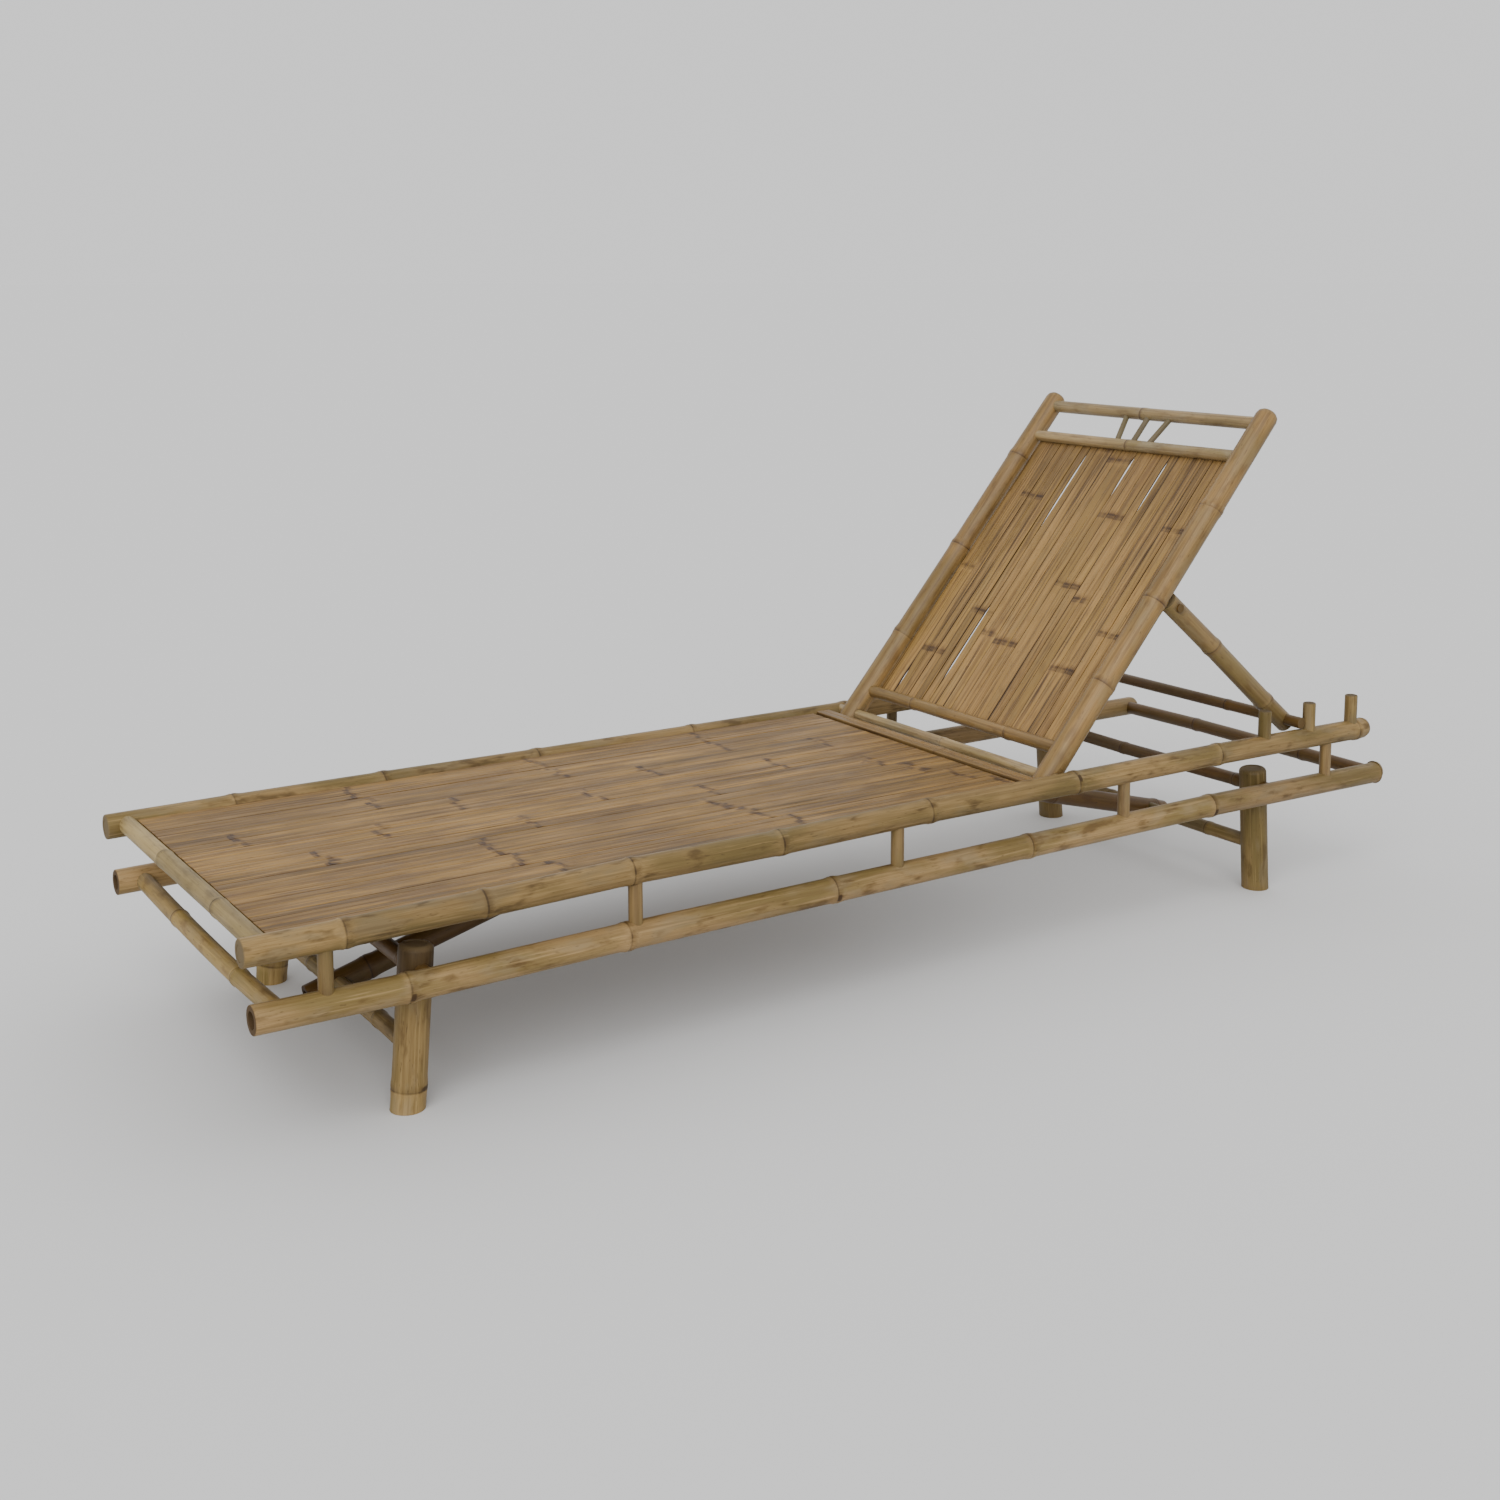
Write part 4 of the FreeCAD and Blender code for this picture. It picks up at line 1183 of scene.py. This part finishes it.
POLE_SKIN = BambooFinish(
    "weathered_pole", "pole_bamboo", skin=(0.132, 0.084, 0.029), pale=(0.247, 0.172, 0.071),
    streak=(0.057, 0.032, 0.009), scar=(0.024, 0.012, 0.004), cut=(0.132, 0.095, 0.046),
    olive=(0.077, 0.058, 0.015), grey=(0.145, 0.110, 0.060), gloss=0.18, stain_share=0.6,
    streak_share=0.3, tone_spread=0.38)
# A copy of the weathered pole about two thirds brighter: painted light for parts that the deck and
# rails shade.
LIT_POLE_SKIN = BambooFinish(
    "sunned_pole", "pole_bamboo", skin=(0.221, 0.139, 0.047), pale=(0.391, 0.266, 0.109),
    streak=(0.097, 0.053, 0.015), scar=(0.040, 0.019, 0.006), cut=(0.221, 0.156, 0.075),
    olive=(0.129, 0.097, 0.024), grey=(0.245, 0.181, 0.098), gloss=0.18, stain_share=0.6,
    streak_share=0.3, tone_spread=0.38)
PALE_SKIN = replace(POLE_SKIN, name="bleached_pole", skin=(0.241, 0.171, 0.067),
                    pale=(0.331, 0.248, 0.110), olive=(0.177, 0.130, 0.047),
                    grey=(0.253, 0.182, 0.070), stain_share=0.35)
UPPER_SKIN = replace(POLE_SKIN, name="upper_rail", skin=(0.150, 0.092, 0.032),
                     pale=(0.276, 0.185, 0.078), stain_share=0.75)
# The lower rails: the lit copy, lighter still, as painted light against the shade of the deck and
# upper rails.
LOWER_SKIN = replace(LIT_POLE_SKIN, name="lower_rail", skin=(0.234, 0.145, 0.056),
                     pale=(0.413, 0.277, 0.129), stain_share=0.75, grey_share=0.6)
# The foot's lower bar: built on the lit copy, partly painted light.
FOOT_BAR_SKIN = replace(LIT_POLE_SKIN, name="foot_lower_bar", skin=(0.199, 0.125, 0.036),
                        pale=(0.352, 0.240, 0.084))
# The front legs: the lit copy, painted light, with their tops darkened as painted shade under the
# rails and deck.
LEG_SKIN = replace(LIT_POLE_SKIN, name="front_leg", aged_share=0.78, aged_from=0.158, aged_over=0.025)
# The rear legs: their tops darkened as painted shade under the rails and deck.
REAR_LEG_SKIN = replace(POLE_SKIN, name="rear_leg", aged_share=0.3, aged_from=0.15,
                        aged_over=0.05)
PEG_SKIN = replace(POLE_SKIN, name="peg", slot="stick_bamboo", stain_share=0.5)
BACK_SKIN = BambooFinish(
    "backrest_pole", "pole_bamboo", skin=(0.170, 0.095, 0.029), pale=(0.261, 0.162, 0.057),
    streak=(0.077, 0.039, 0.012), scar=(0.032, 0.013, 0.004), cut=(0.146, 0.101, 0.040),
    olive=(0.111, 0.071, 0.019), grey=(0.184, 0.129, 0.058), roughness=0.42)
BAR_SKIN = BambooFinish(
    "panel_bar", "pole_bamboo", skin=(0.256, 0.167, 0.070), pale=(0.393, 0.285, 0.138),
    streak=(0.116, 0.068, 0.028), scar=(0.049, 0.022, 0.010), cut=(0.220, 0.177, 0.097),
    olive=(0.167, 0.125, 0.045), grey=(0.277, 0.227, 0.141), roughness=0.42)
DARK_SKIN = BambooFinish(
    "shaded_pole", "pole_bamboo", skin=(0.077, 0.037, 0.008), pale=(0.105, 0.056, 0.013),
    streak=(0.049, 0.021, 0.004), scar=(0.018, 0.007, 0.002), cut=(0.084, 0.048, 0.014),
    olive=(0.057, 0.034, 0.006), grey=(0.077, 0.048, 0.014), roughness=0.46, tone_spread=0.35)
STICK_SKIN = BambooFinish(
    "thin_stick", "stick_bamboo", skin=(0.159, 0.097, 0.032), pale=(0.218, 0.144, 0.059),
    streak=(0.080, 0.043, 0.014), scar=(0.034, 0.016, 0.006), cut=(0.134, 0.094, 0.044),
    olive=(0.112, 0.082, 0.024), grey=(0.140, 0.104, 0.052), roughness=0.45)
FAN_SKIN = BambooFinish(
    "greyed_stick", "stick_bamboo", skin=(0.105, 0.077, 0.041), pale=(0.161, 0.122, 0.066),
    streak=(0.066, 0.046, 0.022), scar=(0.032, 0.019, 0.009), cut=(0.140, 0.102, 0.053),
    olive=(0.083, 0.068, 0.027), grey=(0.118, 0.094, 0.055), roughness=0.55)
DECK_FACE = BambooFinish(
    "flattened_board", "deck_bamboo", skin=(0.180, 0.098, 0.024), pale=(0.308, 0.176, 0.044),
    streak=(0.074, 0.035, 0.008), scar=(0.038, 0.014, 0.002), cut=(0.104, 0.057, 0.015),
    olive=(0.133, 0.072, 0.017), grey=(0.192, 0.114, 0.033), roughness=0.56, crack_share=0.6,
    knot_share=0.75, tone_spread=0.46, groove=0.3 * MM, scar_from=0.74, scar_share=1.0,
    stain_share=0.35, streak_share=0.6, edge_share=0.45, olive_share=0.8,
    edge_depth=2.3 * MM)
SLAT_FACE = BambooFinish(
    "split_slat", "slat_bamboo", skin=(0.230, 0.127, 0.037), pale=(0.363, 0.215, 0.069),
    streak=(0.073, 0.033, 0.009), scar=(0.024, 0.009, 0.002), cut=(0.133, 0.078, 0.028),
    olive=(0.209, 0.123, 0.028), grey=(0.217, 0.139, 0.053), crack_share=0.7,
    tone_spread=0.24, scar_from=0.72, scar_share=0.75, halo_share=0.9, streak_share=0.5,
    stain_share=0.25, edge_share=1.0, edge_depth=1.9 * MM, aged_share=0.3, aged_from=0.56)
STRIP_FACE = BambooFinish(
    "closing_strip", "split_bamboo", skin=(0.181, 0.100, 0.028), pale=(0.219, 0.129, 0.040),
    streak=(0.108, 0.054, 0.014), scar=(0.043, 0.019, 0.004), cut=(0.096, 0.053, 0.016),
    olive=(0.153, 0.090, 0.022), grey=(0.162, 0.092, 0.028), roughness=0.46, crack_share=0.3,
    edge_share=0.9)
PIN_SKIN = BambooFinish(
    "cut_pin", "bamboo_pins", skin=(0.129, 0.072, 0.024), pale=(0.173, 0.103, 0.040),
    streak=(0.084, 0.043, 0.014), scar=(0.033, 0.015, 0.005), cut=(0.122, 0.077, 0.033),
    olive=(0.112, 0.072, 0.023), grey=(0.122, 0.084, 0.038), roughness=0.6, grain=Grain.ACROSS_X)


@dataclass
class SideFrame:
    """One long side: two rails, the posts between them and the pegs on top."""

    shop: Workshop
    side: str
    upper: Habit
    lower: Habit
    post: Habit = Habit(first=0.2, ring_height=0.5 * MM, kink=0.0, roughness=0.3 * MM)
    peg: Habit = Habit(first=0.2, ring_height=0.6 * MM, kink=0.0, roughness=0.3 * MM)
    posts: int = 5
    peg_gap: float = 20 * MM
    inset: float = 0.9 * MM

    def build(self) -> None:
        """Make every stick of the side."""
        shop = self.shop
        inward = X * (-self.inset if self.side == "right" else self.inset)
        for stem, habit, finish, foot in (("upper_rail_", self.upper, UPPER_SKIN, DISC),
                                          ("lower_rail_", self.lower, LOWER_SKIN, HOLLOW)):
            node = stem + self.side
            shop.pole(node, Body.FRAME, habit, finish, foot, DOMED,
                      line=Line.of(node).moved(inward), sides=40)
        for number in range(1, self.posts + 1):
            shop.pole("spacer_post_%s_%d" % (self.side, number), Body.FRAME, self.post,
                      STICK_SKIN, kind="_stick")
        node = "recline_pegs_" + self.side
        pegs = [shop.culm(node + "_stick", line, self.peg, PEG_SKIN, head=PEG_TOP)
                for line in Line.each(node, 1, self.peg_gap)]
        shop.deliver(node, "_sticks", Body.FRAME, PEG_SKIN, *pegs)


@dataclass
class Trestle:
    """One pair of legs with its crossbar, stretcher and diagonal brace."""

    shop: Workshop
    place: str
    leg: Habit
    finish: BambooFinish
    brace_ends: tuple[End, End]
    crossbar: Habit = Habit(first=0.249, internode=0.27, ring_height=0.9 * MM,
                            ring_width=1.8 * MM, kink=3.0 * MM)
    stretcher: Habit = Habit(first=0.17, internode=0.24, ring_height=0.9 * MM,
                             ring_width=1.8 * MM)
    brace: Habit = Habit(first=0.09, internode=0.26, ring_height=1.4 * MM)
    foot_trim: float = 5 * MM

    def build(self) -> None:
        """Make every stick of the trestle."""
        shop = self.shop
        for side in ("left", "right"):
            node = "%s_leg_%s" % (self.place, side)
            line = Line.of(node).lengthened(self.foot_trim, 0.0)
            leg = shop.culm(node + "_culm", line, self.leg, self.finish, HOLLOW, CAPPED, sides=36)
            self.stand_on_floor(leg)
            shop.deliver(node, "_culm", Body.FRAME, self.finish, leg)
        shop.pole("leg_crossbar_" + self.place, Body.FRAME, self.crossbar, DARK_SKIN)
        shop.pole("leg_stretcher_" + self.place, Body.FRAME, self.stretcher, POLE_SKIN)
        shop.pole("diagonal_brace_" + self.place, Body.FRAME, self.brace, DARK_SKIN,
                  *self.brace_ends, sides=32)

    def stand_on_floor(self, leg: bpy.types.Mesh) -> None:
        """Trim a splayed leg's foot flat on the floor.

        Args:
            leg: The leg's placed mesh.
        """
        for vertex in leg.vertices:
            vertex.co.z = max(vertex.co.z, 0.0)


@dataclass
class EndBars:
    """The crossbars that join the two sides at the foot and the head."""

    shop: Workshop
    foot_top: Habit = Habit(first=0.201, internode=0.236, ring_height=0.8 * MM,
                            ring_width=2.0 * MM, kink=1.0 * MM)
    foot_lower: Habit = Habit(first=0.188, internode=0.254, ring_height=1.1 * MM,
                              ring_width=2.0 * MM, kink=5.0 * MM, bow=-5.0 * MM)
    head_lower: Habit = Habit(first=0.192, internode=0.26, ring_height=1.1 * MM,
                              ring_width=2.0 * MM, kink=4.0 * MM)
    pivot_rod: Habit = Habit(first=0.299, internode=0.4, ring_height=0.7 * MM,
                             ring_width=1.8 * MM, kink=0.0, side_kink=0.0, roughness=0.0)

    def build(self) -> None:
        """Make the four bars."""
        for node, habit, finish in (("foot_top_crossbar", self.foot_top, PALE_SKIN),
                                    ("foot_lower_crossbar", self.foot_lower, FOOT_BAR_SKIN),
                                    ("head_lower_crossbar", self.head_lower, DARK_SKIN),
                                    ("backrest_pivot_rod", self.pivot_rod, BAR_SKIN)):
            self.shop.pole(node, Body.FRAME, habit, finish)


@dataclass
class Deck:
    """Flattened boards lengthwise, their closing strip and the battens they are nailed to."""

    shop: Workshop
    foot_reach: float = 1.0 * MM
    head_gap: float = 3.0 * MM
    strip_gap: float = 4.0 * MM
    board: Habit = Habit(ring_height=0.5 * MM, ring_width=3.0 * MM, ring_proud=0.0,
                         ring_tilt=2.0 * MM, kink=0.6 * MM, side_kink=0.0, roughness=0.25 * MM,
                         bud_share=0.6, bud_height=0.0)
    cracked: dict[str, float] = field(default_factory=lambda: {
        "strips": 5, "group": 5, "squareness": 0.1, "sides": 20, "zigzag": 16 * MM,
        "edge_scatter": 6 * MM, "edge_sway": 6 * MM, "gap": 0.8 * MM, "cant": 0.03,
        "sink": 0.3 * MM, "end_scatter": 0.7 * MM})
    nodes: tuple[tuple[float, float], ...] = (
        (0.306, 0.31), (0.315, 0.305), (0.09, 0.33), (0.27, 0.335), (0.16, 0.305),
        (0.369, 0.37), (0.375, 0.385), (0.41, 0.385))
    end_strip: Habit = Habit(first=0.33, internode=0.4, ring_height=0.3 * MM, ring_proud=0.0,
                             ring_width=2.0 * MM, kink=0.0, side_kink=0.0, roughness=0.15 * MM)
    halves: dict[str, float] = field(default_factory=lambda: {
        "strips": 2, "group": 2, "gap": 2.5 * MM, "squareness": 0.3, "sides": 20})
    batten: Habit = Habit(first=0.16, ring_height=0.8 * MM, ring_proud=0.0, kink=0.0)
    tenon_radius: float = 7 * MM
    tenon_drop: float = 8 * MM

    def flat_line(self, node: str, axis: int) -> tuple[Line, float]:
        """The middle line of a flat node.

        Args:
            node: The CAD node.
            axis: The axis it runs along.

        Returns:
            The line, with half the thickness as its radius, and the width.
        """
        low, high = (Vector(corner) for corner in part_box(node))
        middle, half = (low + high) / 2, (high - low) / 2
        reach = (X, Y, Z)[axis] * half[axis]
        return Line(middle - reach, middle + reach, half.z), 2 * half[1 - axis]

    def build(self) -> None:
        """Make boards, strip and battens, and finish the nails."""
        shop = self.shop
        for number, (first, internode) in enumerate(self.nodes, start=1):
            node = "deck_board_%d" % number
            line, span = self.flat_line(node, 1)
            habit = replace(self.board, first=first, internode=internode)
            board = shop.stick(node + "_strips", line.lengthened(self.foot_reach, -self.head_gap),
                               habit, DECK_FACE, across=-X, span=span, **self.cracked)
            shop.deliver(node, "_strips", Body.FRAME, DECK_FACE, board)
        line, span = self.flat_line("deck_end_strip", 0)
        strip = shop.stick("deck_end_strip_split", line.moved(Y * (self.strip_gap / 2)),
                           self.end_strip, STRIP_FACE, across=Y, span=span - self.strip_gap,
                           **self.halves)
        shop.deliver("deck_end_strip", "_split", Body.FRAME, STRIP_FACE, strip)
        for which in ("foot", "middle", "end"):
            self.build_batten(which + "_batten")
        for node in ("deck_nails", "brace_dowels"):
            shop.coat(node, PIN_SKIN)

    def build_batten(self, node: str) -> None:
        """Make a half-round batten with its flat side up, and its tenons.

        Args:
            node: The batten's CAD node.
        """
        shop = self.shop
        low, high = (Vector(corner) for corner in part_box(node))
        inner = Vector(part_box("deck_board_%d" % len(self.nodes))[1]).x
        middle = Vector((0, (high.y + low.y) / 2, high.z))
        half = Line(middle - X * inner, middle + X * inner, (high.y - low.y) / 2)
        culm = shop.stick(node + "_half", half, self.batten, DARK_SKIN, across=Y, flat_side=0.5,
                          sides=32)
        middle.z -= self.tenon_drop
        tenon = Line(middle + X * low.x, middle + X * high.x, self.tenon_radius)
        ends = shop.culm(node + "_tenon", tenon, PLAIN, DARK_SKIN)
        shop.deliver(node, "_half", Body.FRAME, DARK_SKIN, culm, ends)


@dataclass
class Backrest:
    """The hinged frame with its slats, fan sticks and hidden crossbar."""

    shop: Workshop
    right_pole: Habit = Habit(first=0.195, internode=0.165, growth=0.022, ring_height=1.5 * MM,
                              kink=2.5 * MM, taper=0.04)
    left_pole: Habit = Habit(first=0.193, internode=0.2, growth=0.01, ring_height=1.5 * MM,
                             kink=2.5 * MM, taper=0.04)
    fan_stick: Habit = Habit(first=0.3, kink=0.0, ring_height=0.0, roughness=0.2 * MM)
    fan_gap: float = 15 * MM
    prop_rod: Habit = Habit(first=0.2, ring_height=0.0, kink=0.0, side_kink=0.0, roughness=0.0)
    slat: Habit = Habit(first=0.16, internode=0.4, strip_scatter=0.3, ring_height=0.6 * MM,
                        ring_width=3.4 * MM, ring_proud=0.0, ring_tilt=1.5 * MM, kink=1.2 * MM,
                        side_kink=0.4 * MM)
    side_by_side: dict[str, float] = field(default_factory=lambda: {
        "strips": 8, "group": 3, "squareness": 0.4, "sides": 18, "zigzag": 1.5 * MM,
        "edge_scatter": 1.0 * MM, "edge_sway": 1.2 * MM, "gap": 0.6 * MM, "slit": 4.6 * MM,
        "cant": 0.08, "sink": 0.7 * MM, "strip_shift": 0.11})
    slits: tuple[tuple[str, tuple[tuple[int, float, float], ...]], ...] = (
        ("left", ((1, 0.395, 0.575), (1, 0.05, 0.235), (6, 0.01, 0.08))),
        ("middle", ((3, 0.465, 0.575),)), ("right", ((7, 0.455, 0.575),)))
    bars: tuple[tuple[str, BambooFinish, Habit], ...] = (
        ("backrest_top_crossbar", BAR_SKIN,
         Habit(first=0.238, ring_height=1.0 * MM, ring_width=1.8 * MM, kink=1.5 * MM)),
        ("upper_panel_crossbar", BAR_SKIN,
         Habit(first=0.25, ring_height=0.9 * MM, ring_width=1.8 * MM, kink=1.0 * MM)),
        ("lower_panel_crossbar", BACK_SKIN,
         Habit(first=0.134, internode=0.244, ring_height=1.1 * MM, ring_width=1.8 * MM)),
        ("back_crossbar", DARK_SKIN,
         Habit(first=0.11, internode=0.23, ring_height=0.9 * MM, kink=1.0 * MM)))

    def build(self) -> None:
        """Make poles, bars, slats and sticks."""
        shop = self.shop
        pivot = Line.of("backrest_pivot_rod")
        for side, habit in (("left", self.left_pole), ("right", self.right_pole)):
            shop.pole("back_pole_" + side, Body.BACKREST, habit, BACK_SKIN, CUP, DOMED,
                      pin=pivot, sides=40)
        for node, finish, habit in self.bars:
            shop.pole(node, Body.BACKREST, habit, finish)
        for panel, slits in self.slits:
            self.build_slats("back_slats_" + panel, slits)
        sticks = [shop.culm("fan_stick", line, self.fan_stick, FAN_SKIN)
                  for line in Line.each("fan_sticks", 0, self.fan_gap)]
        shop.deliver("fan_sticks", "_turned", Body.BACKREST, FAN_SKIN, *sticks)
        shop.pole("prop_pivot_rod", Body.BACKREST, self.prop_rod, DARK_SKIN, kind="_stick")
        shop.coat("back_pins", PIN_SKIN)

    def build_slats(self, node: str, slits: Sequence[tuple[int, float, float]]) -> None:
        """Make one panel's slats, round side to the sitter.

        Args:
            node: The panel's CAD node.
            slits: Which splits gape, from where to where along the slats.
        """
        points = solid_points(node)
        pole = Line.of("back_pole_left").direction
        front = X.cross(pole)
        low_x, high_x = points[:, 0].min(), points[:, 0].max()
        along, deep = points @ np.array(pole), points @ np.array(front)
        middle = X * ((low_x + high_x) / 2) + front * ((deep.min() + deep.max()) / 2)
        line = Line(middle + pole * along.min(), middle + pole * along.max(),
                    (deep.max() - deep.min()) / 2)
        gaping = {"slit_%d%s" % (number, ask): value for number, slit in enumerate(slits, start=1)
                  for ask, value in zip(("", "_from", "_to"), slit)}
        slats = self.shop.stick(node + "_splits", line, self.slat, SLAT_FACE, across=-X,
                                span=high_x - low_x, **self.side_by_side, **gaping)
        self.shop.deliver(node, "_splits", Body.BACKREST, SLAT_FACE, slats)


@dataclass
class Prop:
    """The swinging prop that holds the backrest up."""

    shop: Workshop
    side_pole: Habit = Habit(first=0.136, internode=0.17, ring_height=1.3 * MM,
                             ring_width=2.2 * MM, kink=1.5 * MM)
    crossbar: Habit = Habit(first=0.15, internode=0.29, ring_height=0.9 * MM,
                            ring_width=1.8 * MM, kink=1.0 * MM)

    def build(self) -> None:
        """Make the two poles and their crossbar."""
        pivot = Line.of("prop_pivot_rod")
        for side in ("left", "right"):
            self.shop.pole("prop_pole_" + side, Body.PROP, self.side_pole, STICK_SKIN, SAWN, CUP,
                           pin=pivot, sides=32)
        self.shop.pole("prop_crossbar", Body.PROP, self.crossbar, DARK_SKIN)


@dataclass
class Studio:
    """A pale floor, soft light and the photograph's camera."""

    camera_at: Vector = field(default_factory=lambda: Vector((2.3607, -1.6614, 1.0466)))
    heading: float = math.radians(-56.72)
    tilt: float = math.radians(-7.54)
    lens: float = 44.51
    sensor: float = 36.0
    shift: float = -0.1533
    floor_size: float = 400.0
    floor_grey: float = 0.62
    sky: float = 1.0
    lamps: tuple[tuple[str, tuple[float, float, float], float, float], ...] = (
        ("key", (0.75, -0.6, 0.62), 2.5, math.radians(60)),
        ("fill", (-0.6, 0.7, 1.6), 0.6, math.radians(120)))

    def build(self) -> None:
        """Set up floor, lights and camera."""
        self.lay_floor()
        for name, towards, strength, width in self.lamps:
            self.light(name, Vector(towards), strength, width)
        world = bpy.data.worlds.new("studio")
        world.use_nodes = True
        ground = world.node_tree.nodes["Background"]
        ground.inputs["Color"].default_value = (1.0, 1.0, 1.0, 1.0)
        ground.inputs["Strength"].default_value = self.sky
        bpy.context.scene.world = world
        self.set_camera()

    def lay_floor(self) -> None:
        """A plain pale floor."""
        mesh = bpy.data.meshes.new("floor")
        shape = bmesh.new()
        bmesh.ops.create_grid(shape, x_segments=1, y_segments=1, size=self.floor_size / 2)
        shape.to_mesh(mesh)
        shape.free()
        floor = placed("floor", mesh)
        material = bpy.data.materials.new("pale_floor")
        material.use_nodes = True
        shader = material.node_tree.nodes["Principled BSDF"]
        shader.inputs["Base Color"].default_value = (*[self.floor_grey] * 3, 1.0)
        shader.inputs["Roughness"].default_value = 1.0
        shader.inputs["Specular IOR Level"].default_value = 0.0
        mesh.materials.append(material)

    def light(self, name: str, towards: Vector, strength: float, width: float) -> None:
        """A wide soft light from far away.

        Args:
            name: Name of the lamp.
            towards: Where it is, seen from the lounger.
            strength: How bright it is.
            width: Its width as an angle, which softens the shadows.
        """
        data = bpy.data.lights.new(name, "SUN")
        data.angle = width
        data.energy = strength
        placed(name, data).rotation_euler = (-towards).to_track_quat("-Z", "Y").to_euler()

    def set_camera(self) -> None:
        """Stand the camera where the photograph was taken."""
        data = bpy.data.cameras.new("photo_camera")
        data.lens = self.lens
        data.sensor_width = self.sensor
        data.shift_y = self.shift
        camera = placed("photo_camera", data)
        level = math.cos(self.tilt)
        look = Vector((math.sin(self.heading) * level, math.cos(self.heading) * level,
                       math.sin(self.tilt)))
        camera.location = self.camera_at
        camera.rotation_euler = look.to_track_quat("-Z", "Y").to_euler()
        bpy.context.scene.camera = camera


def main() -> None:
    """Light the stage, then dress the lounger piece by piece."""
    logging.basicConfig(level=logging.INFO, format="%(name)s: %(message)s")
    Studio().build()
    shop = Workshop()
    rail = Habit(ring_height=1.6 * MM, ring_width=2.6 * MM, ring_proud=0.5, kink=3.0 * MM,
                 side_kink=0.2 * MM, taper=0.04, bud_share=0.5, bud_height=0.0)
    knotty = replace(rail, kink=6.0 * MM, bud_share=0.8)
    SideFrame(shop, "right",
              upper=replace(rail, first=0.125, internode=0.185, growth=0.026, bow=-5.0 * MM),
              lower=replace(knotty, first=0.194, internode=0.308, growth=0.029)).build()
    SideFrame(shop, "left", upper=replace(rail, first=0.185, internode=0.235, growth=0.03),
              lower=replace(knotty, first=0.25, internode=0.33, growth=0.02)).build()
    leg = Habit(first=0.172, ring_height=0.9 * MM, ring_width=2.6 * MM, kink=1.0 * MM)
    Trestle(shop, "front", replace(leg, first=0.034, internode=0.2, bud_share=1.0), LEG_SKIN,
            brace_ends=(HOLLOW, SAWN)).build()
    Trestle(shop, "rear", leg, REAR_LEG_SKIN, brace_ends=(SAWN, HOLLOW)).build()
    EndBars(shop).build()
    Deck(shop).build()
    Backrest(shop).build()
    Prop(shop).build()


if __name__ == "__main__":
    main()
